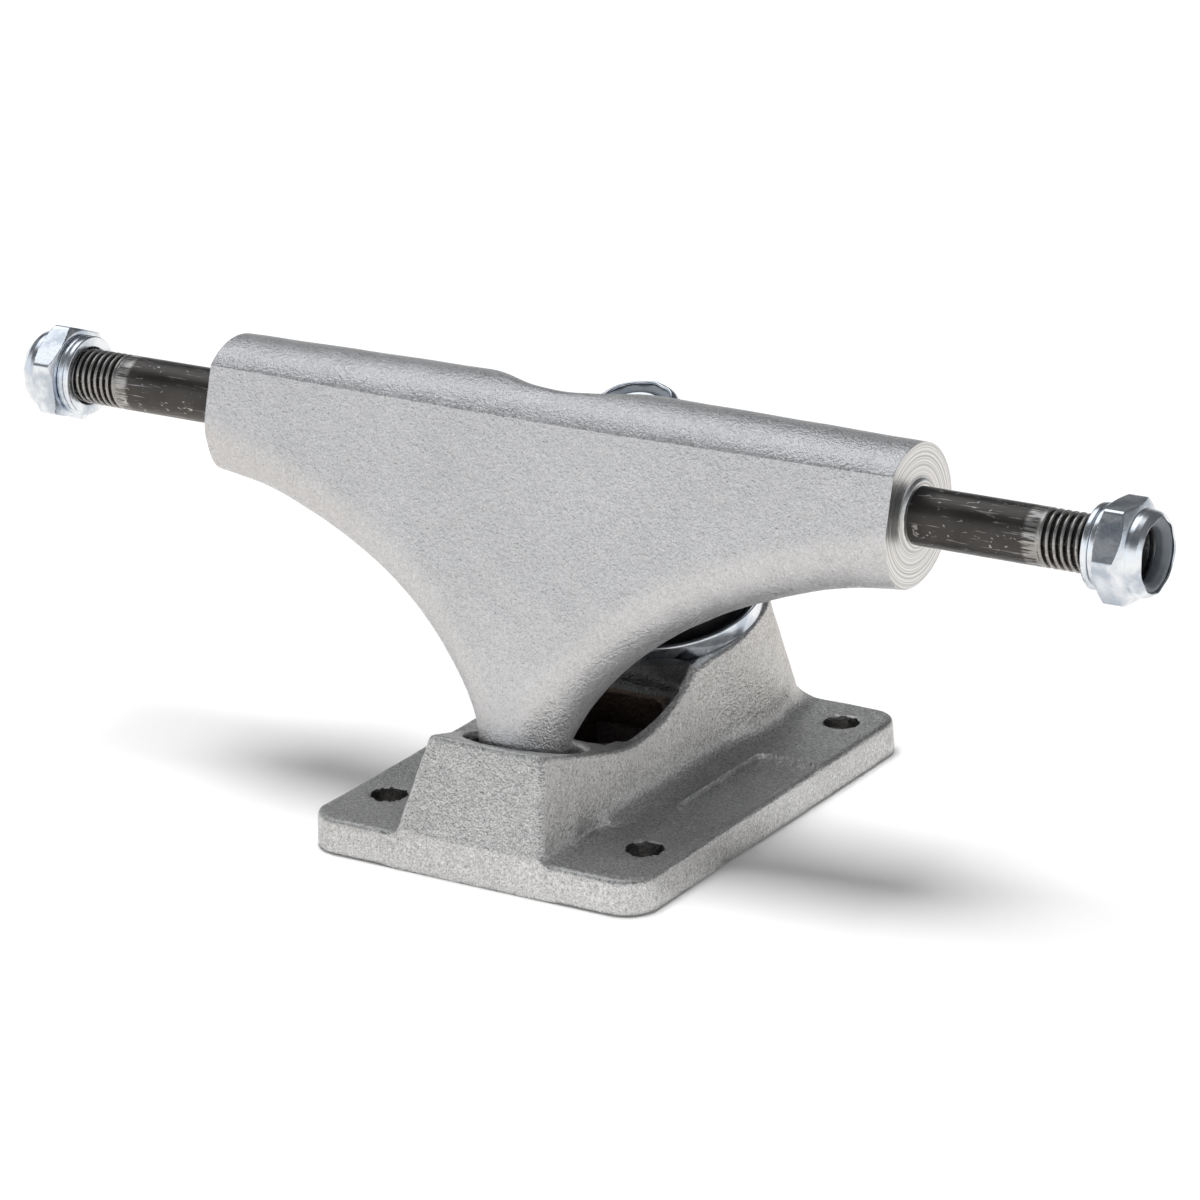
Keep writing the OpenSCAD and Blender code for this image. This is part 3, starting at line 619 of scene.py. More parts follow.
def hanger_body(x, y, z):
    """The whole casting but for its turned ends."""
    body = hanger_front(x, y, z)
    ny, nz = pivot_space(x, y, z)
    cone = (np.hypot(x, ny) - np.minimum(NOSE_R + NOSE_SLOPE * nz, NOSE_R)) * 0.968
    cone = np.maximum(cone, np.maximum(-BALL_DEPTH - nz, nz - NOSE_TOP))
    ball = np.sqrt(x * x + ny * ny + (nz + BALL_DEPTH) ** 2) - BALL_R
    body = np.maximum(body, -nz)
    body = np.minimum(body, np.minimum(cone, ball))
    ky, kz = kingpin_space(x, y, z)
    round_k = np.hypot(x, ky)
    ring = np.abs(kz - (RING_BOTTOM + RING_TOP) / 2) - (RING_TOP - RING_BOTTOM) / 2
    ring = np.maximum(round_k - RING_R, ring)
    body = join(body, bracket_field(x, y, z), 4.0)
    body = join(body, ring, 1.6)
    under = np.maximum(round_k - RING_R - 0.6, np.abs(kz - RING_BOTTOM + 6.0) - 6.0)
    body = cut(body, under, 0.6)
    side = np.maximum(np.abs(x) - NUT_POCKET_SIDE, 0)
    pocket = np.maximum(np.hypot(side, ky) - NUT_POCKET_R, RING_TOP - kz)
    body = cut(body, pocket, 1.2)
    scoop = np.sqrt(x * x + (y - AXLE_Y - SCOOP_BACK) ** 2 + (z - AXLE_Z - SCOOP_UP) ** 2) - SCOOP_R
    body = cut(body, scoop, 3.0)
    body = cut(body, round_k - RING_HOLE_R, 0.7)
    return body + ripple(x, y, z, 13.0, 0.03)


def hanger_field(x, y, z):
    """The casting between its turned ends, with a low boss round the axle on each."""
    body = np.maximum(hanger_body(x, y, z), np.abs(x) - HANGER_HALF)
    boss = np.maximum(np.hypot(y - AXLE_Y, z - AXLE_Z) - BOSS_R, np.abs(x) - HANGER_HALF - BOSS_OUT)
    return join(body, boss, 0.5)


def sharpen_hanger(points, step):
    """Moves the points beside the front crease and the turned ends' rims on to them."""
    x, y, z = points.T
    fy, fv = beam_space(x, y, z)
    front, radius = beam_section(x, fv)
    near = (np.abs(fy + front) < 0.5 * step) & (fv > 0)
    near &= np.abs(np.hypot(fy, fv) - radius) < 0.5 * step
    up = np.sqrt(radius ** 2 - front ** 2)
    c, s = math.cos(PIVOT_LEAN), math.sin(PIVOT_LEAN)
    points[near, 1] = (AXLE_Y - front * c + up * s)[near]
    points[near, 2] = (AXLE_Z + front * s + up * c)[near]
    x, y, z = points.T
    rim = (np.abs(HANGER_HALF - np.abs(x)) < 0.5 * step) & (np.abs(hanger_body(x, y, z)) < 0.7 * step)
    rim &= np.hypot(y - AXLE_Y, z - AXLE_Z) > 6.5
    points[rim, 0] = np.sign(x[rim]) * HANGER_HALF
    for _ in range(4):
        d = hanger_body(*points[rim].T)
        g = slope(hanger_body, *points[rim].T)[:, 1:]
        points[rim, 1:] -= (d / np.maximum((g * g).sum(1), 0.05))[:, None] * g
    return points


def sheet_point(h):
    """The middle of the web at height h above the nose line, where x is 0."""
    up = np.array([0, math.sin(PIVOT_LEAN), math.cos(PIVOT_LEAN)])
    front = np.array([0, -math.cos(PIVOT_LEAN), math.sin(PIVOT_LEAN)])
    middle = np.array([0, AXLE_Y, AXLE_Z]) + (FRONT - WEB_T / 2) * front
    return middle + (NOSE_LINE + h - middle[2]) / math.cos(PIVOT_LEAN) * up


def bracket_planes():
    """Normals and offsets of the convex shape round the ring and its roots in the beam and the web."""
    turn = np.linspace(0, 2 * math.pi, 24, endpoint=False)[:, None]
    side, up = np.array([1.0, 0, 0]), np.array([0, math.cos(KINGPIN_LEAN), math.sin(KINGPIN_LEAN)])
    disc = (RING_R - 0.4) * (np.cos(turn) * side + np.sin(turn) * up)
    ring = [SEAT + KINGPIN_DIR * h + disc for h in (RING_BOTTOM + 0.4, RING_TOP - 0.4)]
    circle = np.cos(turn) * np.array([0, 1.0, 0]) + np.sin(turn) * np.array([0, 0, 1.0])
    beam = [np.array([x, AXLE_Y + 1, AXLE_Z - 3]) + BRACKET_ROOT_R * circle
            for x in (-BRACKET_HALF, BRACKET_HALF)]
    foot = [sheet_point(BRACKET_FOOT) + BRACKET_WEB_R * (math.cos(a) * circle + math.sin(a) * side)
            for a in (-1.2, -0.6, 0.0, 0.6, 1.2)]
    solid = bmesh.new()
    for point in np.concatenate([*ring, *beam, *foot]):
        solid.verts.new(point)
    bmesh.ops.convex_hull(solid, input=list(solid.verts))
    bmesh.ops.dissolve_limit(solid, angle_limit=0.09, verts=list(solid.verts), edges=list(solid.edges))
    planes = [(np.array(f.normal), float(f.normal.dot(f.verts[0].co))) for f in solid.faces]
    solid.free()
    return planes


BRACKET_PLANES = bracket_planes()
print("planes of the bracket:", len(BRACKET_PLANES))


def bracket_field(x, y, z):
    """Soft maximum of the distances to the planes: log(sum(exp(k * d))) / k, with k = 2.5 per mm."""
    sharpness = 2.5
    total = 0.0
    for (nx, ny, nz), offset in BRACKET_PLANES:
        total = total + np.exp(np.clip(sharpness * (nx * x + ny * y + nz * z - offset), -60, 60))
    return np.log(total) / sharpness


HANGER_STEP = 0.5
HANGER_REACH = HANGER_HALF + 2.5 * HANGER_STEP
cast_piece(
    "hanger_casting", hanger_field, (-HANGER_REACH, -31, 4), (HANGER_REACH, 26, 65), HANGER_STEP,
    sharpen_hanger, material=hanger_metal, body="hanger", slot="cast_aluminium", replaced=["hanger"])

# %% [markdown]
# ## The base plate
# A flat flange carries two towers with a window between them. The walls have draft, so that the
# casting leaves its mould, and their feet flow into the flange.

# %% The base plate's shape
FLANGE_T = 5.1
FLANGE_R = 5.0
FLANGE_HALF = 27.0
SPOT_R, SPOT_H = 9.4, 5.0
BODY_HALF = 11.9
TOWER_FRONT_Y = PIVOT_MOUTH[1] - 9.95 * math.cos(PIVOT_LEAN)
TOWER_FRONT_Z = PIVOT_MOUTH[2] + 9.95 * math.sin(PIVOT_LEAN)
SIDE_DRAFT = math.radians(12)
FRONT_LEAN = math.radians(21)
SADDLE_Z = 12.2
RISE = math.radians(23.7)
RISE_TOP_Y = SEAT[1] - 15.0 * math.cos(KINGPIN_LEAN) + 5.5
RISE_TOP_Z = SEAT[2] - (SEAT[1] - RISE_TOP_Y) * math.tan(KINGPIN_LEAN)
DISH_Z, DISH_FRONT, DISH_BACK = 11.4, -12.0, 2.8
DISH_HALF, DISH_SIDE = 8.7, 7.8
REAR_R, REAR_DRAFT = 12.9, math.radians(4.2)
REAR_SIDE, REAR_SPREAD = 12.3, 0.035
SOCKET_WALL_R, SOCKET_DEPTH = 8.4, 11.5
PIN_HOLE_R = 4.78
HEAD_GAP_HALF, HEAD_TOP = 7.3, -14.0
PANEL_X, PANEL_Y, PANEL_HALF_W, PANEL_HALF_L, PANEL_DEPTH = 21.2, -0.8, 4.4, 11.2, 0.6


def dish_field(x, y, z):
    """The sunk band round the window: over a floor that ramps up at both ends, and inside the side lips."""
    ramp = np.maximum(0, DISH_FRONT + 4.0 - y) * math.tan(PIVOT_LEAN)
    back = np.maximum(0, y - DISH_BACK + 7.1) * math.tan(RISE)
    above = DISH_Z + ramp + back - z
    sides = np.maximum(np.abs(x) - DISH_HALF, (np.abs(x) - DISH_SIDE - (z - DISH_Z) / 3) * 0.95)
    ends = np.maximum(DISH_FRONT - y, y - DISH_BACK)
    return common(common(above, sides, 0.8), ends, 1.0)


def hollow_field(x, y, z):
    """The core's space under the window, which widens downwards."""
    depth = DISH_Z - 2.0
    sides = (np.abs(x) - WINDOW_HALF_W - (depth - z) * math.tan(math.radians(14))) * 0.97
    ends = np.abs(y - WINDOW_Y) - WINDOW_HALF_L
    return common(common(sides, ends, 2.0), z - depth, 1.0)


def bolt_fields(x, y, z):
    """The four bolt holes, and the clear spots round the two front ones."""
    hole = np.hypot(np.abs(x) - BOLT_X, np.abs(y) - BOLT_Y) - BOLT_R
    spot = np.hypot(np.abs(x) - BOLT_X, y + BOLT_Y) - SPOT_R
    return hole, common(common(spot, FLANGE_T - z, 0.5), z - FLANGE_T - SPOT_H, 0.5)


def panel_fields(x, y, z):
    """The plain sunk panel on the right of the flange, and the low rib on two of its sides."""
    outline = round_box(x - PANEL_X, y - PANEL_Y, PANEL_HALF_W, PANEL_HALF_L, 0.8)
    rib = np.maximum(np.abs(outline - 0.2) - 0.5, np.abs(z - FLANGE_T) - 0.4)
    rib = np.maximum(rib, np.minimum(x - PANEL_X + 3.2, PANEL_Y + 10.0 - y))
    return np.maximum(outline, FLANGE_T - PANEL_DEPTH - z), rib


def base_field(x, y, z):
    """The whole casting: body and rear tower, then the flange, then every hole and hollow."""
    ax = np.abs(x)
    flange = common(flange_sides(x, y, z), np.abs(z - FLANGE_T / 2) - FLANGE_T / 2, 0.8)
    wall = (ax - BODY_HALF + (z - FLANGE_T) * math.tan(SIDE_DRAFT)) * math.cos(SIDE_DRAFT)
    front = (TOWER_FRONT_Y - y - (TOWER_FRONT_Z - z) * math.tan(FRONT_LEAN)) * math.cos(FRONT_LEAN)
    py, pz = pivot_space(x, y, z)
    ky, kz = kingpin_space(x, y, z)
    rise = (z - RISE_TOP_Z - (y - RISE_TOP_Y) * math.tan(RISE)) * math.cos(RISE)
    top = join(join(pz, z - SADDLE_Z, 3.0), common(rise, kz, 2.0), 4.0)
    body = common(common(wall, front, 0.7), top, 0.7)
    body = common(body, y - SEAT[1] - 4.0, 2.0)
    round_k = np.hypot(x, ky)
    tower = (round_k - REAR_R + kz * math.tan(REAR_DRAFT)) * 0.997
    tower = common(tower, ax - REAR_SIDE - (z - FLANGE_T) * REAR_SPREAD, 1.5)
    body = join(body, common(tower, kz, 0.7), 5.0)
    body = common(body, kz - 3.0 * np.maximum(0, 6.0 - y), 0.7)
    body = np.maximum(body, y - (PLATE_HI[1] - 0.3))
    fillet = 1.0 + 1.8 * smooth((y + 31.0) / 6.0)
    whole = join(body, flange, fillet)
    whole = np.maximum(whole, np.maximum(-z, flange_sides(x, y, z)))
    hole, spot = bolt_fields(x, y, z)
    window = round_box(x, y - WINDOW_Y, WINDOW_HALF_W, WINDOW_HALF_L, 2.5)
    socket = np.maximum(np.hypot(x, py) - SOCKET_WALL_R, -SOCKET_DEPTH - pz)
    head = np.maximum(hex_gap(x, ky, HEAD_GAP_HALF), kz - HEAD_TOP)
    for opening, r in ((spot, 0.4), (dish_field(x, y, z), 0.5), (window, 0.5), (hollow_field(x, y, z), 0.8),
                       (socket, 0.5), (round_k - PIN_HOLE_R, 0.4), (head, 0.4)):
        whole = cut(whole, opening, r)
    whole = np.maximum(whole, -hole)
    panel, rib = panel_fields(x, y, z)
    whole = cut(join(whole, rib, 0.3), panel, 0.25)
    return whole + ripple(x, y, z, 11.0, 0.03)


def flange_sides(x, y, z):
    """The flange's outline, which draws in a little towards its top."""
    half = (PLATE_HI[1] - PLATE_LO[1]) / 2
    return round_box(x, y - PLATE_MID[1], FLANGE_HALF, half, FLANGE_R) + 0.05 * z - 0.02


def hex_gap(x, y, half):
    """Distance to a hexagon of half width half across its flats, with corners on the X axis."""
    a = np.abs(y)
    b = np.abs(x) * math.sin(math.pi / 3) + np.abs(y) * math.cos(math.pi / 3)
    return np.maximum(a, b) - half


def sharpen_base(points, step):
    """Moves the points beside the rims of the four bolt holes on to the rims."""
    middle = np.sign(points[:, :2]) * (BOLT_X, BOLT_Y)
    spoke = points[:, :2] - middle
    r = np.hypot(*spoke.T)
    level = np.where(points[:, 2] > FLANGE_T / 2, FLANGE_T, 0.0)
    near = (np.abs(r - BOLT_R) < 0.5 * step) & (np.abs(points[:, 2] - level) < 0.5 * step)
    points[near, :2] = (middle + spoke * (BOLT_R / np.maximum(r, 0.1))[:, None])[near]
    points[near, 2] = level[near]
    return points


cast_piece(
    "base_plate_casting", base_field, PLATE_LO - 2, PLATE_HI + 2, 0.45,
    sharpen_base, material=plate_metal, body="base", slot="cast_aluminium", replaced=["base_plate"])

# %% [markdown]
# ## Turned pieces
# Nuts, washers, bushings, the kingpin, the cup and the axle are all made round an axis. Each is
# an outline of (radius, height) points, with soft corners, carried round that axis as one grid.
# A shape function may change the radius by angle, which makes flats, threads and crimped rims.

# %% Outlines and the surfaces they sweep
def soft_corners(points, size=0.25, bits=5):
    """Each corner p becomes the parabola (1-t)^2 a + 2t(1-t) p + t^2 b, with a and b up to size from p."""
    p = np.asarray(points, dtype=float)
    before, after = np.roll(p, 1, axis=0) - p, np.roll(p, -1, axis=0) - p
    t = np.linspace(0, 1, bits)[None, :, None]
    ends = []
    for way in (before, after):
        length = np.maximum(np.linalg.norm(way, axis=1), 1e-9)
        reach = np.minimum(size, 0.45 * length) * (p[:, 0] > 0)
        ends.append(p + way * (reach / length)[:, None])
    a, b = ends[0][:, None], ends[1][:, None]
    return ((1 - t) ** 2 * a + 2 * t * (1 - t) * p[:, None] + t ** 2 * b).reshape(-1, 2)


def refined(points, gap):
    """The same outline with points at most gap apart."""
    p = np.asarray(points, dtype=float)
    length = np.concatenate([[0], np.cumsum(np.linalg.norm(np.diff(p, axis=0), axis=1))])
    at = np.unique(np.concatenate([np.linspace(0, length[-1], int(length[-1] / gap) + 2), length]))
    return np.stack([np.interp(at, length, p[:, k]) for k in (0, 1)], axis=1)


def hexagon(theta, half, corner=0.12):
    """Radius of a hexagon, half / cos(angle from the nearest flat), with its corners taken off."""
    third = math.pi / 3
    from_flat = (theta + third / 2) % third - third / 2
    return np.minimum(half / np.cos(from_flat), half / math.cos(third / 2) - corner)


def thread_cut(height, theta, pitch, depth):
    """Depth of a right-hand thread: a round groove along the helix height / pitch = angle / turn."""
    phase = (height / pitch - theta / (2 * math.pi)) % 1.0
    from_groove = np.abs(phase - 0.5) * 2
    return depth * (1 - smooth((from_groove - 0.08) / 0.74))


def wobble(theta, seed, lowest=2, highest=13):
    """A smooth uneven curve round the circle, between about -1 and 1: a sum of sines with seeded phases."""
    rng = np.random.default_rng(seed)
    waves = np.arange(lowest, highest)
    phases, weights = rng.uniform(0, 2 * math.pi, len(waves)), rng.uniform(0.4, 1.0, len(waves))
    return sum(w * np.sin(n * theta + f) for n, f, w in zip(waves, phases, weights)) / weights.sum() * 2.2


def turned(name, outline, origin, out, shape=None, steps=96, closed=True, smooth_angle=40, **piece):
    """Point = origin + height * out + radius * (cos(angle) * side + sin(angle) * up)."""
    origin, out = np.asarray(origin, dtype=float), np.asarray(out, dtype=float)
    side = np.array([0, 1.0, 0]) if abs(out[0]) > 0.5 else np.array([1.0, 0, 0])
    up = np.cross(out, side)
    theta = np.arange(steps)[None, :] * 2 * math.pi / steps
    radius = outline[:, 0][:, None] + 0 * theta
    height = outline[:, 1][:, None] + 0 * theta
    if shape is not None:
        radius, height = shape(radius, height, theta + 0 * radius)
    spoke = np.cos(theta)[..., None] * side + np.sin(theta)[..., None] * up
    points = origin + height[..., None] * out + radius[..., None] * spoke
    rows = len(outline)
    i = np.arange(rows if closed else rows - 1)[:, None]
    j = np.arange(steps)[None, :]
    ahead, beside = (i + 1) % rows, (j + 1) % steps
    here, there = i * steps, ahead * steps
    faces = np.stack([here + j, here + beside, there + beside, there + j], axis=-1)
    return make_piece(name, points.reshape(-1, 3), faces.reshape(-1, 4), smooth_angle=smooth_angle, **piece)


# %% [markdown]
# ## Axle
# One steel rod goes right through the hanger. Its ends carry a right-hand thread of 24 turns to
# the inch. The groove is real geometry, because its dark lines are what one sees beside each nut.

# %% Axle
THREAD_PITCH = 25.4 / 24
THREAD_DEPTH = 0.58
END_BEVEL = 0.6


def axle_shape(radius, height, theta):
    """The rod less its thread, which runs out over one pitch, and never beyond the bevelled ends."""
    run_out = np.clip((np.abs(height) - THREAD_START) / THREAD_PITCH, 0, 1)
    groove = thread_cut(height, theta, THREAD_PITCH, THREAD_DEPTH) * run_out
    worn = 0.03 * wobble(theta + height * 0.9, 3) * run_out
    return np.minimum(radius, AXLE_R - 0.03 - groove - np.maximum(worn, 0) * run_out), height


def axle_outline():
    """One end, the plain middle and the other end, which mirrors the first."""
    plain = np.array([[AXLE_R, h] for h in np.linspace(-THREAD_START, THREAD_START, 60)])
    fine = 0.07
    left = refined([[0, -AXLE_HALF], [AXLE_R - END_BEVEL, -AXLE_HALF], [AXLE_R, -AXLE_HALF + END_BEVEL],
                    [AXLE_R, -THREAD_START]], fine)
    right = left[::-1] * (1, -1)
    return np.concatenate([left, plain[1:-1], right])


turned("axle_rod", axle_outline(), (0, AXLE_Y, AXLE_Z), (1, 0, 0), axle_shape, closed=False,
       material=blackened, body="hanger", slot="axle_steel", replaced=["axle"])

# %% [markdown]
# ## Lock nuts
# A lock nut is a hexagon with a round collar, which is rolled over a nylon ring. The outline is
# the round shape and the hexagon only trims it: the smaller radius wins, and where the bevel's
# cone meets the flats the curved edges of a real nut appear by themselves.

# %% Lock nuts and their nylon rings
def nut_outline(af, height, hex_height, collar_r, mouth_r, bore_r, ring_r):
    """From the bore's bevel over the seat, the hexagon and the collar to the nylon's groove."""
    corner = af / 2 / math.cos(math.pi / 6)
    return [
        (bore_r + 0.7, 0), (af / 2 - 0.15, 0), (corner + 0.1, 0.62), (corner + 0.1, hex_height - 0.85),
        (collar_r + 0.25, hex_height), (collar_r - 0.12, hex_height + 0.2), (collar_r - 0.05, height - 1.7),
        (collar_r - 0.25, height - 0.8), (collar_r - 0.8, height - 0.1), (mouth_r + 0.1, height - 0.05),
        (mouth_r - 0.12, height - 0.3), (ring_r, height - 0.45), (ring_r, height - 2.4),
        (bore_r, height - 2.4), (bore_r, 0.7)]


def lock_nut(name, sizes, origin, out, turn, seed, body):
    """A hexagon turned by an angle in degrees, with a rim that was rolled in unevenly."""
    af, height, mouth_r = sizes[0], sizes[1], sizes[4]

    def shape(radius, h, theta):
        """The outline trimmed by the flats, with a wavy lip within 0.75 mm of the top."""
        flats = hexagon(theta + math.radians(turn), af / 2)
        rim = np.clip((h - height + 0.75) / 0.75, 0, 1)
        lip = rim * np.clip((mouth_r + 0.9 - radius) / 0.7, 0, 1)
        radius = radius + lip * 0.16 * wobble(theta, seed)
        drop = 0.10 * rim * (1 + wobble(theta, seed + 1)) * (radius < mouth_r + 0.6)
        return np.minimum(radius, flats), h - drop

    outline = refined(soft_corners(nut_outline(*sizes), 0.16), 0.14)
    turned(name + "_steel", outline, origin, out, shape, steps=180, smooth_angle=32,
           body=body, replaced=[name], **ZINC)


def nylon_ring(name, top, ring_r, bore_r, origin, out, body):
    """A ring with a rounded mouth."""
    low = top - 1.9
    outline = soft_corners([(ring_r, low), (ring_r, top), (bore_r + 0.75, top), (bore_r, top - 0.7),
                            (bore_r, low)], 0.3)
    turned(name + "_nylon", outline, origin, out, steps=72,
           material=nylon, body=body, slot="nut_nylon", replaced=[name])


# Across the flats, height, height of the hexagon, and radii of collar, mouth, bore and nylon.
AXLE_NUT = (12.7, 6.5, 3.9, 5.8, 4.9, 3.97, 5.12)
NUT_SEAT_X = size_of("axle_nut_right")[0][0]
NUT_TURN = {"left": 9.0, "right": 30.0}
for side, sign in (("left", -1), ("right", 1)):
    seat = (sign * NUT_SEAT_X, AXLE_Y, AXLE_Z)
    out = (sign, 0, 0)
    lock_nut("axle_nut_" + side, AXLE_NUT, seat, out, NUT_TURN[side], 5 + sign, "hanger")
    nylon_ring("axle_nut_insert_" + side, 6.0, 5.1, 3.6, seat, out, "hanger")

# %% [markdown]
# ## Speed washers and cupped washers
# Speed washers are punched: their rims are slightly round. The cupped washers are pressed from
# sheet, with a floor and a rim that opens outwards and holds the bushing.

# %% Washers
WASHER = soft_corners([(4.1, 0), (5.7, 0), (5.7, 0.95), (4.1, 0.95)], 0.28)
for side, sign in (("left", -1), ("right", 1)):
    for place in ("inner", "outer"):
        node = f"speed_washer_{side}_{place}"
        start = size_of(node)[0][0] if sign > 0 else size_of(node)[1][0]
        turned(node + "_steel", WASHER, (start, AXLE_Y, AXLE_Z), (sign, 0, 0),
               body=f"washer_{side}_{place}", replaced=[node], **ZINC)

PIN_R = 4.76
STACK_R = PIN_R + 0.15
CUP_SHEET = 1.4
UPPER_WASHER_TOP = 29.0
NUT_H = 6.5


def cupped_washer(name, rim_r, height, rim_step, origin, out):
    """Sheet metal: a flat floor, and a rim that opens by rim_step over its height."""
    outline = soft_corners([
        (STACK_R, 0), (rim_r - rim_step, 0), (rim_r, height), (rim_r - CUP_SHEET * 0.6, height),
        (rim_r - rim_step - CUP_SHEET * 0.75, CUP_SHEET), (STACK_R, CUP_SHEET)], 0.35)
    turned(name + "_steel", outline, origin, out, steps=144, body="base", replaced=[name], **ZINC)


def up_the_pin(height):
    """The point of the kingpin's axis at a height above its seat."""
    return SEAT + KINGPIN_DIR * height


cupped_washer("lower_cup_washer", 13.2, 3.1, 0.7, up_the_pin(0), KINGPIN_DIR)
cupped_washer("upper_cup_washer", 10.4, 3.0, 0.3, up_the_pin(UPPER_WASHER_TOP), -KINGPIN_DIR)

# %% [markdown]
# ## Bushings
# The bushings are the springs of the truck. Each bends between a still washer and the moving ring.
# Here each mesh is made once in place, and rides on no body.

# %% Bushings
def bushing(name, height, seat_r, belly_r, ring_r, start, out):
    """From its washer up to the ring, with a neck that goes into the ring's hole."""
    neck_r, neck = RING_HOLE_R - 0.3, 1.8
    outline = soft_corners([
        (STACK_R, 0), (seat_r, 0), (belly_r, height * 0.3), (belly_r, height * 0.7), (ring_r, height),
        (neck_r, height), (neck_r, height + neck), (STACK_R, height + neck)], 0.9, 7)
    piece = turned(name + "_urethane", refined(outline, 0.6), start, out,
                   material=bushing_rubber, body=None, slot="bushing_urethane", replaced=[name])
    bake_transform(piece)


bushing("lower_bushing", 12.6, 10.9, 11.5, 10.9, up_the_pin(CUP_SHEET), KINGPIN_DIR)
bushing("upper_bushing", 8.6, 9.0, 9.5, 10.2, up_the_pin(UPPER_WASHER_TOP - CUP_SHEET), -KINGPIN_DIR)

# %% [markdown]
# ## Kingpin and its nut
# The kingpin is a long bolt, pressed into the plate from below. Only its head, from underneath,
# and its threaded end in the nut can be seen.

# %% Kingpin
HEAD_LOW, HEAD_HIGH, HEAD_HALF = -20.0, HEAD_TOP, 7.15
PIN_TOP = UPPER_WASHER_TOP + NUT_H - 0.8


def kingpin_shape(radius, height, theta):
    """A hexagon at the head and a thread from the upper washer to the end."""
    run_out = np.clip((height - UPPER_WASHER_TOP + 3.0) / THREAD_PITCH, 0, 1)
    thread = PIN_R - thread_cut(height, theta, THREAD_PITCH, 0.6) * run_out
    trimmed = np.where(height > HEAD_HIGH + 1.0, np.minimum(radius, thread), radius)
    return np.minimum(trimmed, hexagon(theta, HEAD_HALF)), height


def kingpin_outline():
    """The head, whose last soft corner is left off where the shaft goes on, the shaft and the end."""
    head = refined(soft_corners([
        (0, HEAD_LOW), (HEAD_HALF - 0.4, HEAD_LOW), (HEAD_HALF + 1.3, HEAD_LOW + 1.0),
        (HEAD_HALF + 1.3, HEAD_HIGH), (PIN_R, HEAD_HIGH), (PIN_R, HEAD_HIGH + 2.0)], 0.12)[:-5], 0.25)
    shaft = [(PIN_R, HEAD_HIGH + 2.0), (PIN_R, UPPER_WASHER_TOP - 3.2)]
    end = refined([(PIN_R, UPPER_WASHER_TOP - 3.0), (PIN_R, PIN_TOP - 0.7), (PIN_R - 0.7, PIN_TOP),
                   (0, PIN_TOP)], 0.08)
    return np.concatenate([head, shaft, end])


turned("kingpin_bolt", kingpin_outline(), SEAT, KINGPIN_DIR, kingpin_shape, closed=False,
       smooth_angle=32, body="base", replaced=["kingpin"], **ZINC)
KINGPIN_NUT = (14.3, NUT_H, 4.1, 6.8, 5.6, PIN_R + 0.05, 5.92)
lock_nut("kingpin_nut", KINGPIN_NUT, up_the_pin(UPPER_WASHER_TOP), KINGPIN_DIR, 0.0, 11, "base")
nylon_ring("kingpin_nut_insert", 6.0, 5.9, PIN_R + 0.05, up_the_pin(UPPER_WASHER_TOP), KINGPIN_DIR, "base")

# %% [markdown]
# ## Pivot cup
# The hanger's nose turns in a urethane cup. Its socket fits the ball of the nose, and its mouth
# opens as a cone, which leaves the nose room to tilt.

# %% Pivot cup
SOCKET_R = BALL_R + 0.1
FLARE = math.atan(NOSE_SLOPE) + math.radians(8.9)
CUP_R = 8.38


def cup_outline():
    """The outer wall, the lip, the cone that touches the socket's ball at the angle FLARE, and the ball."""
    lip = -0.75
    mouth_r = SOCKET_R / math.cos(FLARE) + (lip + BALL_DEPTH) * math.tan(FLARE)
    corners = [(0, -SOCKET_DEPTH), (CUP_R, -SOCKET_DEPTH), (CUP_R, lip), (mouth_r, lip)]
    wall = soft_corners(corners, 0.3)[:-5]
    angle = np.linspace(-FLARE, -math.pi / 2, 24)
    ball = np.stack([SOCKET_R * np.cos(angle), SOCKET_R * np.sin(angle) - BALL_DEPTH], axis=1)
    ball[-1, 0] = 0
    return np.concatenate([wall, [(mouth_r, lip)], ball])


turned("pivot_cup_urethane", refined(cup_outline(), 0.5), PIVOT_MOUTH, PIVOT_DIR, closed=False,
       material=cup_rubber, body="base", slot="cup_urethane", replaced=["pivot_cup"])

# %% [markdown]
# ## Floor, backdrop and light
# A white floor, a softbox overhead and a weak one on each side. The floor keeps the truck's soft
# shadow and glows towards the distance. Metal mirrors the world instead of the lamps: it is white
# round the horizon and dark overhead, with one bright patch high up.

# %% Stage
class Stage(Paint):
    """A material or world tree whose output is a shader of its own making."""

    def __init__(self, tree):
        self.tree = tree
        tree.nodes.clear()

    def shader_node(self, kind, **sockets):
        """The output of a shader node with its sockets fed."""
        return self.node(kind, inputs=sockets).socket

    def blend(self, kind, mask, first, second):
        """The output of a Mix Shader or Add Shader node for two shaders."""
        made = self.tree.nodes.new(kind)
        if mask is not None:
            self.feed(made.inputs[0], mask)
        self.tree.links.new(first, made.inputs[-2])
        self.tree.links.new(second, made.inputs[-1])
        return made.outputs[0]

    def shown(self):
        """1 for camera, glossy and transmission rays, which see the background as it is shown."""
        rays = [self.node("ShaderNodeLightPath", out=name)
                for name in ("Is Camera Ray", "Is Glossy Ray", "Is Transmission Ray")]
        return rays[0].math("MAXIMUM", rays[1]).math("MAXIMUM", rays[2])

    def output(self, kind, shader):
        """Ends the tree with an output node."""
        self.tree.links.new(shader, self.tree.nodes.new(kind).inputs[0])


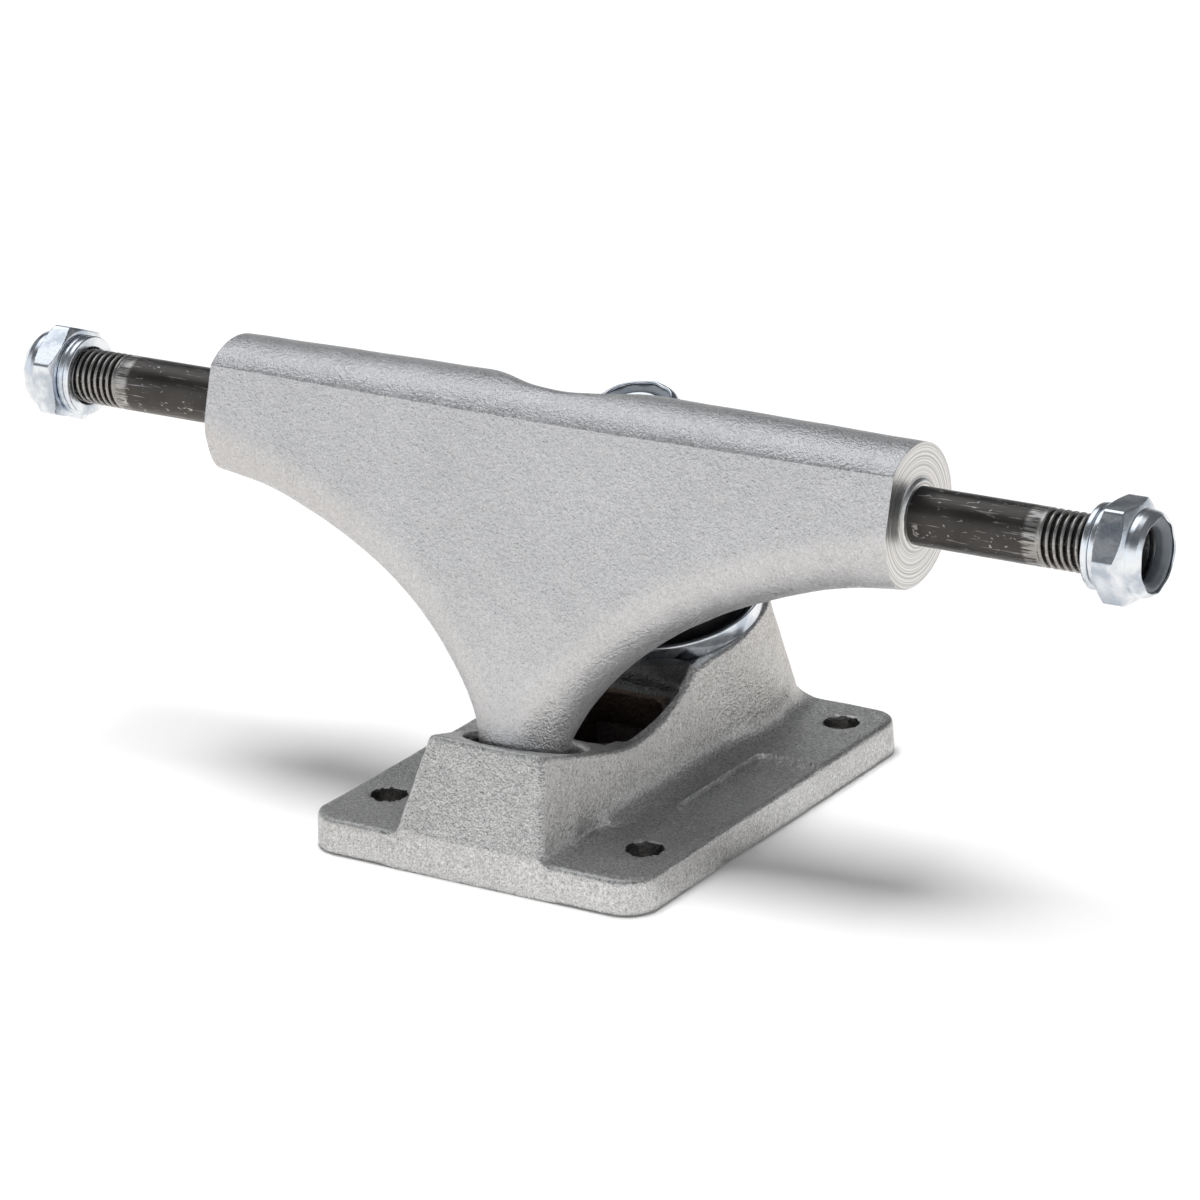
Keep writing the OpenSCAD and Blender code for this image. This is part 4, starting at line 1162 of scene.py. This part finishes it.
def make_floor():
    """A floor that is lit near the truck, glows white in the distance, and doesn't glow under the plate."""
    size, below = 3.0, -0.00005
    mesh = bpy.data.meshes.new("floor")
    corners = [(-size, -size, below), (size, -size, below), (size, size, below), (-size, size, below)]
    mesh.from_pydata(corners, [], [(0, 1, 2, 3)])
    floor = bpy.data.objects.new("floor", mesh)
    bpy.context.scene.collection.objects.link(floor)
    material = bpy.data.materials.new("floor_white")
    material.use_nodes = True
    p = Stage(material.node_tree)
    place = p.node("ShaderNodeTexCoord", out="Object")
    x, y = (p.node("ShaderNodeSeparateXYZ", inputs=[place], out=k) for k in ("X", "Y"))
    distance = (x * x + y * y * 1.7).math("SQRT")
    far = distance.step(0.050, 0.095)
    inside = x.abs().step(0.022, 0.030).math("MAXIMUM", (y + 0.002).abs().step(0.032, 0.040))
    glow = (0.08 + far * 0.94) * inside
    camera_ray = p.node("ShaderNodeLightPath", out="Is Camera Ray")
    tint = p.mix(camera_ray, (1.0, 0.965, 0.92), (1.0, 1.0, 1.0))
    plain = p.shader_node("ShaderNodeBsdfDiffuse", Color=(0.80, 0.80, 0.80, 1))
    lit = p.shader_node("ShaderNodeBsdfDiffuse", Color=p.mix(far, (0.95, 0.95, 0.95), (0.05, 0.05, 0.05)))
    glowing = p.shader_node("ShaderNodeEmission", Color=tint, Strength=glow)
    seen = p.blend("ShaderNodeAddShader", None, lit, glowing)
    p.output("ShaderNodeOutputMaterial", p.blend("ShaderNodeMixShader", p.shown(), plain, seen))
    mesh.materials.append(material)


def make_world():
    """The studio that metal mirrors, and a dimmer even fill for matte surfaces."""
    world = bpy.data.worlds.new("studio")
    bpy.context.scene.world = world
    world.use_nodes = True
    p = Stage(world.node_tree)
    way = p.node("ShaderNodeTexCoord", out="Generated")
    up, back = (p.node("ShaderNodeSeparateXYZ", inputs=[way], out=k) for k in ("Z", "Y"))
    low = up - 0.24 * (1 - back.step(-0.4, 0.4))
    overhead = p.node("ShaderNodeVectorMath", {"operation": "DOT_PRODUCT"},
                      {0: way, 1: (-0.45, 0.17, 0.87)}, out="Value")
    strength = ((1.05 - low.step(0.03, 0.36) * 0.90) * (1 - back.step(0.3, 0.9) * 0.3)
                + overhead.step(0.88, 0.95) * 1.35)
    fill = p.shader_node("ShaderNodeBackground", Color=(1, 1, 1, 1), Strength=0.12)
    studio = p.shader_node("ShaderNodeBackground", Color=(0.96, 0.98, 1.0, 1), Strength=strength)
    p.output("ShaderNodeOutputWorld", p.blend("ShaderNodeMixShader", p.shown(), fill, studio))


def softbox(name, azimuth, elevation, distance, size, watts):
    """A square lamp in metres and degrees, aimed at the truck. No metal mirrors it."""
    a, e = math.radians(azimuth), math.radians(elevation)
    lamp = bpy.data.lights.new(name, "AREA")
    lamp.energy, lamp.size = watts, size
    holder = bpy.data.objects.new(name, lamp)
    bpy.context.scene.collection.objects.link(holder)
    target = Vector((0, 0, 0.03))
    away = Vector((math.sin(a) * math.cos(e), -math.cos(a) * math.cos(e), math.sin(e)))
    holder.location = target + away * distance
    holder.rotation_mode = "QUATERNION"
    holder.rotation_quaternion = away.to_track_quat("Z", "Y")
    holder.visible_glossy = False


make_floor()
make_world()
softbox("above", -80, 85, 1.0, 0.42, 9.5)
softbox("key", -40, 40, 1.2, 0.7, 1.2)
softbox("side", 70, 30, 1.2, 0.6, 0.8)
bpy.context.scene.view_settings.view_transform = "Standard"
